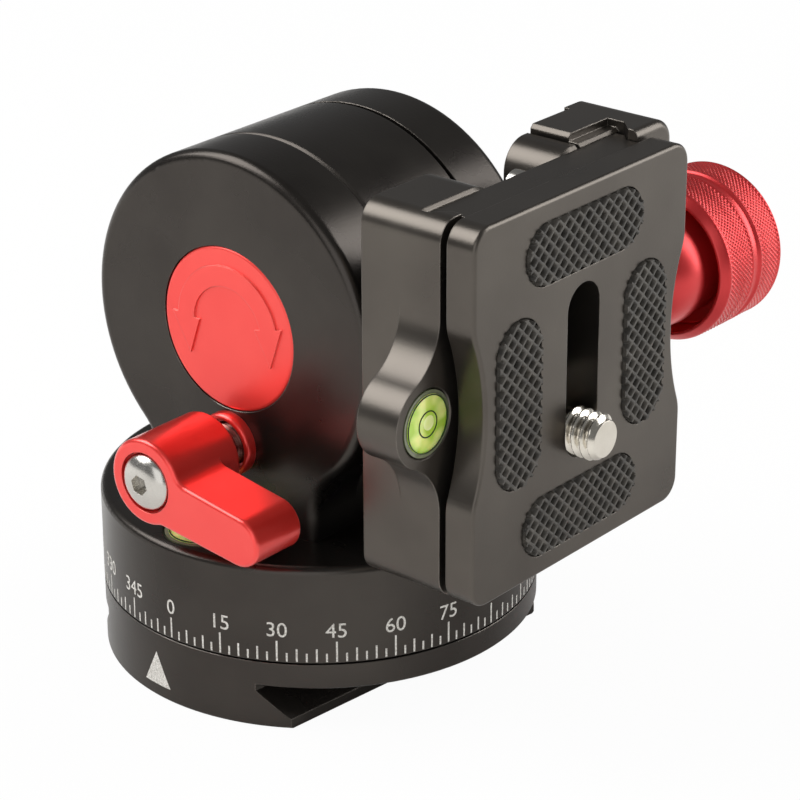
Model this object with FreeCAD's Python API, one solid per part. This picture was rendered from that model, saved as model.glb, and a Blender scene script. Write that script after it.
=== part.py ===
import FreeCAD, Part
import math
import os

# Panoramic tripod head, in millimetres.
# Origin: centre of the underside, +Z up, X along the tilt axis, camera plate facing -Y at rest.

Vector = FreeCAD.Vector
ORIGIN = Vector(0, 0, 0)
X = Vector(1, 0, 0)
Y = Vector(0, 1, 0)
Z = Vector(0, 0, 1)

# Clearances
running_fit = 0.05
washer_play = 0.05
loose_gap = 0.5
countersink_ratio = 1.8

# Fixed base
base_diameter = 60.0
base_height = 9.6
base_edge = 0.25
base_turn = -6.0
foot_height = 6.0
foot_width = 38.0
foot_lip = 1.4
foot_flank = 3.9
tripod_thread_diameter = 9.525
camera_thread_diameter = 6.35
reducer_length = 8.8
base_screw_circle = 22.0
base_screw_diameter = 3.0
base_screw_length = 12.0
base_screw_count = 4

# Panning bearing
spindle_flange_diameter = 30.0
spindle_flange_height = 3.0
spindle_shoulder_diameter = 24.0
spindle_neck_diameter = 16.0
thrust_washer_thickness = 0.6
upper_washer_thickness = 0.5
pan_bushing_wall = 1.5
retainer_diameter = 23.0
retainer_thickness = 2.0
retainer_screw_diameter = 4.0
retainer_screw_length = 10.0

# Panning housing
pan_gap = 0.3
housing_height = 13.6
housing_wall = 4.0
housing_top = 5.5
housing_web = 2.5
housing_edge = 1.0
lock_boss_diameter = 10.0
lock_boss_length = 6.0

# Round bubble levels
pan_vial_diameter = 10.0
pan_vial_depth = 4.0
pan_vial_distance = 23.5
clamp_vial_diameter = 8.6
clamp_vial_depth = 4.4
vial_wall = 0.5
vial_floor = 1.0
vial_lens_rise = 0.2
vial_pocket_edge = 0.3

# Yoke and barrel
tilt_height = 50.0
drum_diameter = 47.7
cheek_thickness = 8.75
barrel_width = 17.0
cheek_gap = 0.25
neck_width = 28.4
neck_blend = 8.0
cheek_edge = 1.4
saddle_share = 0.8
barrel_edge = 0.5
bridge_gap = 0.35
yoke_screw_x = 13.0
yoke_screw_y = 10.0
yoke_screw_diameter = 4.0
yoke_screw_length = 13.0

# Tilt bearing
shaft_diameter = 10.0
tilt_bushing_wall = 1.5
tilt_bushing_length = 4.0
friction_washer_diameter = 20.0
shaft_washer_diameter = 15.0
shaft_washer_thickness = 1.0
shaft_screw_diameter = 4.0
shaft_screw_length = 9.0
shaft_screw_head_diameter = 7.0
shaft_screw_head_height = 1.7
cap_diameter = 22.6
cap_thickness = 1.6
cap_edge = 0.5
arrow_radius = 7.3
arrow_width = 2.8
arrow_rise = 0.25
arrow_middle = 84.5
arrow_half_sweep = 81.5
arrow_head_width = 4.8
arrow_head_sweep = 39.0
arrow_tip_radius = 8.2

# Tilt lock
lock_drop = 16.0
lock_stud_diameter = 6.0
lock_collar_diameter = 8.8
lock_collar_length = 1.6
lock_collar_recess_diameter = 7.4
lock_collar_recess_depth = 1.4
lock_insert_diameter = 8.0
lock_pad_diameter = 8.8
lock_pad_thickness = 2.8
lock_pad_travel = 0.35
lever_gap = 2.9
lever_boss_diameter = 11.8
lever_length = 11.85
lever_arm_thickness = 8.2
lever_arm_width = 7.4
lever_tip_y = -15.8
lever_tip_z = -3.6
lever_tip_radius = 3.4
lever_root_z = -1.4
lever_blend = 2.0
lever_edge = 0.6
lever_screw_diameter = 3.0
lever_screw_length = 7.0
button_head_diameter = 7.8
button_head_height = 2.3
button_seat_depth = 1.2
button_shoulder_share = 0.35
button_crown_share = 0.75
button_crown_radius = 3.1
button_flat_radius = 1.9
socket_radius = 1.4
socket_depth = 1.5

# Clamp
clamp_back_y = -26.6
clamp_floor_y = -34.5
clamp_front_y = -38.8
clamp_length = 50.0
left_jaw_wall = 3.0
right_jaw_wall = 6.8
clamp_split_x = 10.9
clamp_split_gap = 0.6
jaw_rise = 1.0
jaw_ledge = 1.8
floor_chamfer = 0.4
clamp_corner = 3.0
clamp_edge = 0.5
dovetail_play = 0.2
relief_depth = 0.8
relief_width = 0.6
scallop_half_width = 6.0
scallop_depth = 8.0
scallop_lip = 4.0
heel_step = 0.8
heel_width = 6.0
seat_half_height = 11.0
clamp_screw_spacing = 16.0
clamp_screw_diameter = 5.0
clamp_screw_length = 14.0
level_boss_reach = 2.4
level_boss_radius = 5.8
level_boss_depth = 6.2
level_boss_blend = 8.5
screw_axis_y = -29.8
clamp_stud_diameter = 6.0
clamp_stud_start_x = -6.0
guide_pin_diameter = 4.0
guide_pin_spacing = 28.0
guide_pin_start_x = -4.0
guide_pin_inset = 1.8
spring_outer_diameter = 5.2
spring_wire = 0.35
spring_pocket_depth = 8.6
jaw_travel = 6.0

# Clamp knob
knob_diameter = 22.3
knob_standoff = 11.1
knob_length = 13.9
knob_rim_taper = 1.3
knob_groove_place = 7.6
knob_groove_width = 1.8
knob_groove_depth = 0.35
knob_recess_diameter = 18.6
knob_recess_depth = 4.5
knob_hub_diameter = 16.4
knob_hub_neck_diameter = 9.6
knob_hub_lead = 1.3
knob_hub_length = 5.6
knob_end_recess_diameter = 11.0
knob_washer_thickness = 0.9
knob_washer_diameter = 12.0
stud_stop_diameter = 9.0
stud_stop_thickness = 1.2
stud_stop_inset = 2.7

# Camera plate
plate_width = 44.0
plate_length = 50.0
plate_corner = 3.0
plate_front_y = -44.0
plate_body_thickness = 4.2
plate_edge = 0.5
plate_floor_play = 0.1
rail_width = 38.0
rail_lip = 1.4
rail_flank = 1.3
rail_end_step = 0.45
waist_half_length = 11.5
waist_depth = 2.4
waist_blend = 6.0
slot_width = 6.7
slot_low_z = 38.6
slot_high_z = 62.2
slot_head_width = 13.0
slot_head_depth = 3.7
pad_offset = 18.2
pad_side_inset = 8.9
pad_long = 24.0
pad_short = 8.3
pad_side_long = 22.6
pad_side_short = 9.1
pad_seat_depth = 0.8
pad_rise = 0.45
pad_side_clearance = 0.15
stop_offset = 22.4
stop_screw_diameter = 4.0
stop_screw_rise = 1.8
stop_thread_diameter = 2.0
stop_thread_depth = 4.0

# Camera screw
screw_reach = 3.8
screw_head_diameter = 11.6
screw_head_thickness = 2.4
screw_neck_diameter = 5.2
screw_thread_gap = 0.5
screw_washer_thickness = 0.5
screw_chamfer = 0.6

# Panning lock
pan_lock_angle = 39.7
pan_lock_height = 15.2
pan_lock_stud_diameter = 5.0
pan_lock_knob_diameter = 12.0
pan_lock_knob_length = 10.0
pan_lock_knob_gap = 2.4
pan_lock_tip_diameter = 4.0
pan_lock_tip_length = 1.5

# Places worked out from the sizes above
base_radius = base_diameter / 2
housing_bottom = base_height + pan_gap
housing_upper = housing_bottom + housing_height
housing_ceiling = housing_upper - housing_top
web_top = housing_ceiling + housing_web
shoulder_top = housing_ceiling - washer_play - thrust_washer_thickness
neck_top = web_top + washer_play + upper_washer_thickness
drum_radius = drum_diameter / 2
cheek_inner_x = barrel_width / 2 + cheek_gap
cheek_outer_x = cheek_inner_x + cheek_thickness
cap_seat_x = cheek_outer_x - cap_thickness
bushing_outer_x = cheek_inner_x + tilt_bushing_length
shaft_end_x = bushing_outer_x + 2 * washer_play
tilt_centre = Vector(0, 0, tilt_height)
lock_centre = Vector(0, 0, tilt_height - lock_drop)
screw_centre = Vector(0, screw_axis_y, tilt_height)
clamp_low_z = tilt_height - clamp_length / 2
clamp_high_z = tilt_height + clamp_length / 2
jaw_left_x = clamp_split_x + clamp_split_gap
clamp_left_x = -rail_width / 2 - left_jaw_wall
clamp_right_x = rail_width / 2 + right_jaw_wall
level_boss_x = clamp_left_x - level_boss_reach
guide_pin_end_x = clamp_right_x - guide_pin_inset
knob_start_x = clamp_right_x + knob_standoff
knob_end_x = knob_start_x + knob_length
knob_hub_x = knob_start_x - knob_hub_lead
plate_back_y = plate_front_y + plate_body_thickness
rail_back_y = clamp_floor_y - plate_floor_play
camera_screw_z = slot_low_z + slot_width / 2


def cylinder(diameter, start, end, axis=Z, centre=ORIGIN):
    """Round bar along axis, from start to end measured from centre."""
    return Part.makeCylinder(diameter / 2, end - start, centre + axis * start, axis)


def ring(outer, inner, start, end, axis=Z, centre=ORIGIN):
    """Round bar with a bore right through."""
    return cylinder(outer, start, end, axis, centre).cut(cylinder(inner, start, end, axis, centre))


def cone(first, second, start, end, axis=Z, centre=ORIGIN):
    """Round bar whose diameter goes from first to second."""
    return Part.makeCone(first / 2, second / 2, end - start, centre + axis * start, axis)


def block(x0, x1, y0, y1, z0, z1):
    """Rectangular block between two corners."""
    return Part.makeBox(x1 - x0, y1 - y0, z1 - z0, Vector(x0, y0, z0))


def prism(points, direction):
    """Polygon swept along direction."""
    return Part.Face(Part.makePolygon(points + [points[0]])).extrude(direction)


def turned(profile, axis, centre):
    """Body of revolution of (place along the axis, radius) points."""
    side = Z if abs(axis.z) < 0.5 else X
    points = [centre + axis * along + side * radius for along, radius in profile]
    face = Part.Face(Part.makePolygon(points + [points[0]]))
    return face.revolve(centre, axis, 360)


def fuse(first, *others):
    """One solid from touching pieces, with the seams between them removed."""
    return first.multiFuse(list(others)).removeSplitter()


def cut(solid, *tools):
    """Solid with every tool taken away."""
    for tool in tools:
        solid = solid.cut(tool)
    return solid


def round_slot(x, z, width, height, y0, y1):
    """Round-ended slot in the XZ plane from y0 to y1, longer along Z or along X."""
    end = min(width, height)
    half_x = max(width - end, 0) / 2
    half_z = max(height - end, 0) / 2
    if half_z > 0:
        middle = block(x - end / 2, x + end / 2, y0, y1, z - half_z, z + half_z)
    else:
        middle = block(x - half_x, x + half_x, y0, y1, z - end / 2, z + end / 2)
    rounds = [cylinder(end, y0, y1, Y, Vector(x + side * half_x, 0, z + side * half_z)) for side in (-1, 1)]
    return fuse(middle, *rounds)


def soften(solid, size, test, rounded=True):
    """Solid with the edges that pass the test rounded or chamfered."""
    edges = [edge for edge in solid.Edges if test(edge)]
    return solid.makeFillet(size, edges) if rounded else solid.makeChamfer(size, edges)


def lies_at(edge, axis, value):
    """True where the whole edge lies at one value along the axis."""
    box = edge.BoundBox
    low, high = {"x": (box.XMin, box.XMax), "y": (box.YMin, box.YMax), "z": (box.ZMin, box.ZMax)}[axis]
    return abs(low - value) < 0.001 and abs(high - value) < 0.001


def countersunk_screw(diameter, length, axis, centre):
    """Flat-head screw with its head's face at centre and its shank along axis."""
    head = diameter * countersink_ratio
    return fuse(cone(head, diameter, 0, (head - diameter) / 2, axis, centre),
                cylinder(diameter, 0, length, axis, centre))


def countersunk_hole(diameter, length, axis, centre):
    """Hole that a countersunk screw fills."""
    return countersunk_screw(diameter, length, axis, centre)


def around(count, circle, turn=0.0):
    """Evenly spaced points on a circle about the Z axis."""
    angles = [math.radians(turn + 360 / count * (i + 0.5)) for i in range(count)]
    return [Vector(circle / 2 * math.cos(a), circle / 2 * math.sin(a), 0) for a in angles]


# Fixed base

def foot():
    """Dovetail foot below the disc, its ends round like the disc."""
    wide = foot_width / 2
    waist = wide - foot_flank
    top = foot_height + base_edge
    profile = [(-wide, 0), (wide, 0), (wide, foot_lip), (waist, foot_lip + foot_flank), (waist, top),
               (-waist, top), (-waist, foot_lip + foot_flank), (-wide, foot_lip)]
    bar = prism([Vector(-base_radius, y, z) for y, z in profile], X * base_diameter)
    return bar.common(round_blank(0, top))


def round_blank(bottom, top):
    """Disc of the base's diameter with a chamfered lower edge."""
    disc = cylinder(base_diameter, bottom, top)
    return soften(disc, base_edge, lambda e: lies_at(e, "z", bottom), rounded=False)


def base_screw_places():
    return around(base_screw_count, base_screw_circle)


def base_plate():
    """Turned disc with the dovetail foot and the tripod thread."""
    solid = fuse(round_blank(foot_height, base_height), foot())
    solid = cut(solid, cylinder(tripod_thread_diameter, 0, base_height))
    for place in base_screw_places():
        solid = cut(solid, countersunk_hole(base_screw_diameter, base_height, Z, place))
    solid.rotate(ORIGIN, Z, base_turn)
    return solid


def thread_reducer():
    """Bushing from the large tripod thread to the small one."""
    return ring(tripod_thread_diameter, camera_thread_diameter, 0, reducer_length)


def base_screws():
    screws = [countersunk_screw(base_screw_diameter, base_screw_length, Z, p) for p in base_screw_places()]
    group = Part.makeCompound(screws)
    group.rotate(ORIGIN, Z, base_turn)
    return group


def pan_spindle():
    """Stepped post that the housing turns on."""
    flange_top = base_height + spindle_flange_height
    solid = fuse(cylinder(spindle_flange_diameter, base_height, flange_top),
                 cylinder(spindle_shoulder_diameter, flange_top, shoulder_top),
                 cylinder(spindle_neck_diameter, shoulder_top, neck_top))
    solid = cut(solid, cylinder(retainer_screw_diameter, neck_top - retainer_screw_length, neck_top))
    for place in base_screw_places():
        hole = cylinder(base_screw_diameter, 0, base_screw_length, Z, place)
        hole.rotate(ORIGIN, Z, base_turn)
        solid = cut(solid, hole)
    return solid


def thrust_washer():
    """Slip washer that carries the housing on the spindle's shoulder."""
    inner = spindle_neck_diameter + 2 * running_fit
    return ring(spindle_shoulder_diameter - loose_gap, inner, shoulder_top,
                shoulder_top + thrust_washer_thickness)


def upper_washer():
    """Slip washer between the housing's web and the retainer."""
    return ring(retainer_diameter - loose_gap, spindle_neck_diameter + 2 * running_fit,
                neck_top - upper_washer_thickness, neck_top)


def pan_retainer():
    """Disc that holds the housing down."""
    top = neck_top + retainer_thickness
    disc = cylinder(retainer_diameter, neck_top, top)
    return cut(disc, countersunk_hole(retainer_screw_diameter, retainer_thickness, Z * -1, Z * top))


def retainer_screw():
    return countersunk_screw(retainer_screw_diameter, retainer_screw_length, Z * -1,
                             Z * (neck_top + retainer_thickness))


# Panning housing

def pan_vial_centre():
    return Vector(-pan_vial_distance, 0, 0)


def yoke_screw_places():
    return [Vector(x * yoke_screw_x, y * yoke_screw_y, housing_ceiling) for x in (-1, 1) for y in (-1, 1)]


def pan_lock_axis():
    angle = math.radians(pan_lock_angle)
    return Vector(math.cos(angle), math.sin(angle), 0)


def pan_lock_centre():
    return Z * pan_lock_height


def pan_housing():
    """Scale ring and top of the panning part, open below."""
    outer = cylinder(base_diameter, housing_bottom, housing_upper)
    outer = soften(outer, housing_edge, lambda e: lies_at(e, "z", housing_upper))
    cavity_diameter = base_diameter - 2 * housing_wall
    bore = spindle_neck_diameter + 2 * running_fit + 2 * pan_bushing_wall
    solid = cut(outer, cylinder(cavity_diameter, housing_bottom, housing_ceiling),
                cylinder(bore, housing_ceiling, web_top),
                cylinder(retainer_diameter + loose_gap, web_top, housing_upper),
                vial_pocket(pan_vial_diameter, pan_vial_depth, Z, pan_vial_mouth()))
    for place in yoke_screw_places():
        solid = cut(solid, countersunk_hole(yoke_screw_diameter, yoke_screw_length, Z, place))
    wall_inside = cavity_diameter / 2
    boss = cylinder(lock_boss_diameter, wall_inside - lock_boss_length, wall_inside + housing_wall / 2,
                    pan_lock_axis(), pan_lock_centre())
    boss = boss.common(cylinder(base_diameter, housing_bottom, housing_ceiling + housing_web / 2))
    hole = cylinder(pan_lock_stud_diameter, spindle_shoulder_diameter / 2, base_radius,
                    pan_lock_axis(), pan_lock_centre())
    hole = cut(hole, cylinder(spindle_shoulder_diameter, housing_bottom, housing_upper))
    return cut(fuse(solid, boss), hole)


def pan_bushing():
    """Plain bearing pressed in the housing's web."""
    inner = spindle_neck_diameter + 2 * running_fit
    return ring(inner + 2 * pan_bushing_wall, inner, housing_ceiling, web_top)


def vial_pocket(diameter, depth, axis, mouth):
    """Round pocket for a level, with a chamfered mouth."""
    rim = cone(diameter, diameter + 2 * vial_pocket_edge, -vial_pocket_edge, 0, axis, mouth)
    return fuse(cylinder(diameter, -depth, 0, axis, mouth), rim)


def vial_cup(diameter, depth, axis, mouth):
    """Cup of a round level, with its mouth at the given point."""
    inside = diameter - 2 * vial_wall
    return cut(cylinder(diameter, -depth, 0, axis, mouth),
               cylinder(inside, -depth + vial_floor, 0, axis, mouth))


def vial_lens(diameter, depth, axis, mouth):
    """Filled capsule that sits in the cup, with a low crown."""
    inside = diameter - 2 * vial_wall
    body = cylinder(inside, -depth + vial_floor, 0, axis, mouth)
    return fuse(body, cone(inside, inside - 4 * vial_lens_rise, 0, vial_lens_rise, axis, mouth))


def pan_vial_mouth():
    return pan_vial_centre() + Z * housing_upper


# Yoke

def drum_slice(x0, x1):
    return cylinder(drum_diameter, x0, x1, X, tilt_centre)


def neck_blend_places():
    """Centre of one blend arc, and the points where it leaves the neck and the drum."""
    across = neck_width / 2 + neck_blend
    reach = drum_radius + neck_blend
    down = math.sqrt(reach ** 2 - across ** 2)
    share = drum_radius / reach
    return (across, -down), (neck_width / 2, -down), (across * share, -down * share)


def cheek(side):
    """Round cheek that runs down into a straight neck through concave blends."""
    x0, x1 = sorted((side * cheek_inner_x, side * cheek_outer_x))
    centre, on_neck, on_drum = neck_blend_places()
    half = neck_width / 2
    neck = block(x0, x1, -half, half, housing_upper, tilt_height)
    corners = [on_drum, on_neck, (-on_neck[0], on_neck[1]), (-on_drum[0], on_drum[1]), (0, 0)]
    web = prism([tilt_centre + Vector(x0, y, z) for y, z in corners], X * (x1 - x0))
    blends = [cylinder(2 * neck_blend, x0, x1, X, tilt_centre + Vector(0, hand * centre[0], centre[1]))
              for hand in (-1, 1)]
    solid = fuse(drum_slice(x0, x1), neck, cut(web, *blends))
    outer = side * cheek_outer_x
    return soften(solid, cheek_edge, lambda e: lies_at(e, "x", outer) and not lies_at(e, "z", housing_upper))


def yoke():
    """Two cheeks joined by a saddle below the barrel."""
    half = neck_width / 2
    saddle = block(-cheek_inner_x, cheek_inner_x, -half, half, housing_upper,
                   tilt_height - drum_radius * saddle_share)
    saddle = cut(saddle, cylinder(drum_diameter + 2 * bridge_gap, -cheek_inner_x, cheek_inner_x, X,
                                  tilt_centre))
    solid = fuse(cheek(-1), cheek(1), saddle)
    bushing_bore = shaft_diameter + 2 * running_fit + 2 * tilt_bushing_wall
    for side in (-1, 1):
        axis = X * side
        solid = cut(solid, cylinder(bushing_bore, cheek_inner_x, bushing_outer_x, axis, tilt_centre),
                    cylinder(shaft_washer_diameter + loose_gap, bushing_outer_x, cap_seat_x, axis,
                             tilt_centre),
                    cylinder(cap_diameter, cap_seat_x, cheek_outer_x, axis, tilt_centre))
    pocket_depth = lock_pad_thickness + lock_pad_travel
    solid = cut(solid, cylinder(lock_insert_diameter, cheek_inner_x, cheek_outer_x, X * -1, lock_centre),
                cylinder(lock_pad_diameter + 4 * running_fit, cheek_inner_x,
                         cheek_inner_x + pocket_depth, X * -1, lock_centre))
    for place in yoke_screw_places():
        solid = cut(solid, cylinder(yoke_screw_diameter, 0, yoke_screw_length, Z, place))
    return solid


def yoke_screws():
    return Part.makeCompound([countersunk_screw(yoke_screw_diameter, yoke_screw_length, Z, p)
                              for p in yoke_screw_places()])


def tilt_bushings():
    inner = shaft_diameter + 2 * running_fit
    return Part.makeCompound([ring(inner + 2 * tilt_bushing_wall, inner, cheek_inner_x, bushing_outer_x,
                                   X * side, tilt_centre) for side in (-1, 1)])


def friction_washers():
    """Thin slip washers between the barrel and the cheeks."""
    inner = shaft_diameter + 2 * loose_gap
    return Part.makeCompound([ring(friction_washer_diameter, inner, barrel_width / 2 + washer_play,
                                   cheek_inner_x, X * side, tilt_centre) for side in (-1, 1)])


def end_cap(side):
    cap = cylinder(cap_diameter, cap_seat_x, cheek_outer_x, X * side, tilt_centre)
    return soften(cap, cap_edge, lambda e: lies_at(e, "x", side * cheek_outer_x))


def double_arrow():
    """Arc with a head at each end, raised on the face of the left cap."""
    top_x = -cheek_outer_x - arrow_rise
    band = ring(2 * arrow_radius + arrow_width, 2 * arrow_radius - arrow_width, top_x, cap_seat_x * -1,
                X, tilt_centre)
    thickness = cap_thickness + arrow_rise
    reach = cap_diameter
    wedge = [tilt_centre]
    for share in (-1, 0, 1):
        turn = math.radians(arrow_middle + share * arrow_half_sweep)
        wedge.append(tilt_centre + Vector(0, reach * math.cos(turn), reach * math.sin(turn)))
    sector = prism([p + X * top_x for p in wedge], X * thickness)
    heads = []
    for hand in (-1, 1):
        start = math.radians(arrow_middle + hand * arrow_half_sweep)
        tip = math.radians(arrow_middle + hand * (arrow_half_sweep + arrow_head_sweep))
        corners = [(arrow_radius - arrow_head_width / 2, start), (arrow_radius + arrow_head_width / 2, start),
                   (arrow_tip_radius, tip)]
        heads.append(prism([Vector(top_x, r * math.cos(a), tilt_height + r * math.sin(a))
                            for r, a in corners], X * thickness))
    return fuse(band.common(sector), *heads)


def cap_left():
    return fuse(end_cap(-1), double_arrow())


def cap_right():
    return end_cap(1)


# Barrel and tilt shaft

def tilt_barrel():
    """Middle of the drum, with the flat seat that carries the clamp."""
    half = barrel_width / 2
    drum = soften(drum_slice(-half, half), barrel_edge, lambda e: e.Closed, rounded=False)
    seat = block(-half, half, clamp_back_y, 0, tilt_height - seat_half_height, tilt_height + seat_half_height)
    solid = cut(fuse(drum, seat), cylinder(shaft_diameter, -half, half, X, tilt_centre))
    return cut(solid, *clamp_screw_holes())


def tilt_shaft():
    shaft = cylinder(shaft_diameter, -shaft_end_x, shaft_end_x, X, tilt_centre)
    depth = shaft_screw_length
    holes = [cylinder(shaft_screw_diameter, shaft_end_x - depth, shaft_end_x, X * side, tilt_centre)
             for side in (-1, 1)]
    return cut(shaft, *holes)


def shaft_washers():
    return Part.makeCompound([ring(shaft_washer_diameter, shaft_screw_diameter, shaft_end_x,
                                   shaft_end_x + shaft_washer_thickness, X * side, tilt_centre)
                              for side in (-1, 1)])


def shaft_screws():
    seat = shaft_end_x + shaft_washer_thickness
    screws = []
    for side in (-1, 1):
        shank = cylinder(shaft_screw_diameter, shaft_end_x - shaft_screw_length, seat, X * side, tilt_centre)
        head = cylinder(shaft_screw_head_diameter, seat, seat + shaft_screw_head_height, X * side,
                        tilt_centre)
        screws.append(fuse(shank, head))
    return Part.makeCompound(screws)


# Tilt lock

def lock_collar():
    """Threaded insert in the left cheek, with a round collar outside."""
    pad_room = cheek_inner_x + lock_pad_thickness + lock_pad_travel
    outer_x = cheek_outer_x + lock_collar_length
    collar = soften(cylinder(lock_collar_diameter, cheek_outer_x, outer_x, X * -1, lock_centre),
                    lever_edge, lambda e: lies_at(e, "x", -outer_x))
    insert = cylinder(lock_insert_diameter, pad_room, cheek_outer_x, X * -1, lock_centre)
    return cut(fuse(collar, insert),
               cylinder(lock_collar_recess_diameter, outer_x - lock_collar_recess_depth, outer_x, X * -1,
                        lock_centre),
               cylinder(lock_stud_diameter + 2 * running_fit, pad_room, outer_x, X * -1, lock_centre))


def lever_start_x():
    return cheek_outer_x + lock_collar_length + lever_gap


def lever_end_x():
    return lever_start_x() + lever_length


def lever_outline():
    """Arm of the lever in the YZ plane, from the boss to its round tip."""
    tip = lock_centre + Vector(0, lever_tip_y, lever_tip_z)
    root = lock_centre + Vector(0, 0, lever_root_z)
    along = (tip - root).normalize()
    across = X.cross(along)
    half = lever_arm_width / 2
    corners = [root + across * half, root - across * half, tip - across * lever_tip_radius,
               tip + across * lever_tip_radius]
    return corners, tip


def joins_arm_to_boss(edge):
    """True for the inside corners where the arm's sides leave the boss."""
    box = edge.BoundBox
    reach = math.hypot(box.YMin - lock_centre.y, box.ZMin - lock_centre.z)
    on_boss = abs(reach - lever_boss_diameter / 2) < 0.01
    return on_boss and box.YLength < 0.001 and abs(box.XLength - lever_arm_thickness) < 0.01


def lock_lever():
    """Round boss with a flat arm on its outer side."""
    start, end = lever_start_x(), lever_end_x()
    boss = cylinder(lever_boss_diameter, start, end, X * -1, lock_centre)
    corners, tip = lever_outline()
    inner = -(end - lever_arm_thickness)
    arm = prism([p + X * inner for p in corners], X * -lever_arm_thickness)
    nose = cylinder(2 * lever_tip_radius, -end, inner, X, tip)
    solid = fuse(boss, arm, nose)
    solid = soften(solid, lever_blend, joins_arm_to_boss)
    solid = soften(solid, lever_edge, lambda e: lies_at(e, "x", -end) or lies_at(e, "x", -start))
    return cut(solid, cylinder(lock_stud_diameter, start, stud_outer_x(), X * -1, lock_centre),
               cylinder(lever_screw_diameter, start, end, X * -1, lock_centre),
               cylinder(button_head_diameter + loose_gap, end - button_seat_depth, end, X * -1, lock_centre))


def stud_outer_x():
    return lever_end_x() - button_seat_depth - lever_screw_diameter


def lock_stud():
    """Screw that the lever turns, with a thread for the lever's own screw."""
    inner = cheek_inner_x + lock_pad_thickness + 2 * lock_pad_travel
    stud = cylinder(lock_stud_diameter, inner, stud_outer_x(), X * -1, lock_centre)
    seat = lever_end_x() - button_seat_depth
    return cut(stud, cylinder(lever_screw_diameter, seat - lever_screw_length, seat, X * -1, lock_centre))


def lever_screw():
    """Button-head screw with a hexagon socket."""
    seat = lever_end_x() - button_seat_depth
    radius = button_head_diameter / 2
    top = seat + button_head_height
    profile = [(seat, 0), (seat, radius), (seat + button_head_height * button_shoulder_share, radius),
               (seat + button_head_height * button_crown_share, button_crown_radius),
               (top, button_flat_radius), (top, 0)]
    head = turned(profile, X * -1, lock_centre)
    shank = cylinder(lever_screw_diameter, seat - lever_screw_length, seat, X * -1, lock_centre)
    corners = [Vector(-top, socket_radius * math.cos(math.radians(60 * i)),
                      lock_centre.z + socket_radius * math.sin(math.radians(60 * i))) for i in range(6)]
    return cut(fuse(head, shank), prism(corners, X * socket_depth))


def brake_pad():
    """Plunger that the lock presses on the barrel's side."""
    face = barrel_width / 2 + 2 * washer_play
    back = cheek_inner_x + lock_pad_thickness
    return cylinder(lock_pad_diameter, face, back, X * -1, lock_centre)


# Clamp

def clamp_blank(x0, x1, back_y, rise=0.0):
    """Block of the clamp's outline, its outer corners rounded, from the back to the jaw front."""
    low, high = clamp_low_z - rise, clamp_high_z + rise
    solid = block(clamp_left_x, clamp_right_x, clamp_front_y, back_y, low, high)
    solid = soften(solid, clamp_corner, lambda e: abs(e.BoundBox.YLength) > 1 and e.BoundBox.XLength < 0.001
                   and e.BoundBox.ZLength < 0.001)
    return solid.common(block(x0, x1, clamp_front_y, back_y, low, high))


def dovetail_channel(x0, x1):
    """Space between the jaws, with undercut flanks and a relief groove in each corner."""
    play = dovetail_play
    flank_top = clamp_floor_y - rail_lip - plate_floor_play
    waist = rail_width / 2 - rail_flank + play
    wide = rail_width / 2 + play
    front = clamp_front_y - loose_gap
    profile = [(-wide - relief_width, clamp_floor_y), (-wide - relief_width, clamp_floor_y - relief_depth),
               (-wide, flank_top), (-waist, flank_top - rail_flank), (-waist, front),
               (waist, front), (waist, flank_top - rail_flank), (wide, flank_top),
               (wide + relief_width, clamp_floor_y - relief_depth), (wide + relief_width, clamp_floor_y)]
    low, high = clamp_low_z - jaw_rise, clamp_high_z + jaw_rise
    channel = prism([Vector(x, y, low) for x, y in profile], Z * (high - low))
    return channel.common(block(x0, x1, front, clamp_floor_y, low, high))


def floor_edge(edge):
    """True for the edges at the channel floor's two ends."""
    at_end = lies_at(edge, "z", clamp_high_z) or lies_at(edge, "z", clamp_low_z)
    return at_end and lies_at(edge, "y", clamp_floor_y) and edge.BoundBox.XLength > 2 * floor_chamfer


def scallop(side):
    """Rounded notch in one end of the clamp's floor."""
    end = tilt_height + side * clamp_length / 2
    y0, y1 = clamp_floor_y, clamp_back_y
    low, high = sorted((end, end - side * scallop_depth))
    half = scallop_half_width
    notch = block(-half, half, y0, y1, low, high)
    notch = soften(notch, clamp_corner, lambda e: lies_at(e, "z", end - side * scallop_depth)
                   and e.BoundBox.YLength > 1)
    flare_low, flare_high = sorted((end, end - side * scallop_lip))
    flare = block(-half - scallop_lip, half + scallop_lip, y0, y1, flare_low, flare_high)
    rounds = [cylinder(2 * scallop_lip, y0, y1, Y, Vector(hand * (half + scallop_lip), 0,
                                                          end - side * scallop_lip)) for hand in (-1, 1)]
    return fuse(notch, cut(flare, *rounds))


def clamp_screw_heights():
    return [tilt_height + side * clamp_screw_spacing / 2 for side in (-1, 1)]


def clamp_screw_holes():
    return [countersunk_hole(clamp_screw_diameter, clamp_screw_length, Y, Vector(0, clamp_floor_y, z))
            for z in clamp_screw_heights()]


def guide_centres():
    return [screw_centre + Z * (side * guide_pin_spacing / 2) for side in (-1, 1)]


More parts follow.
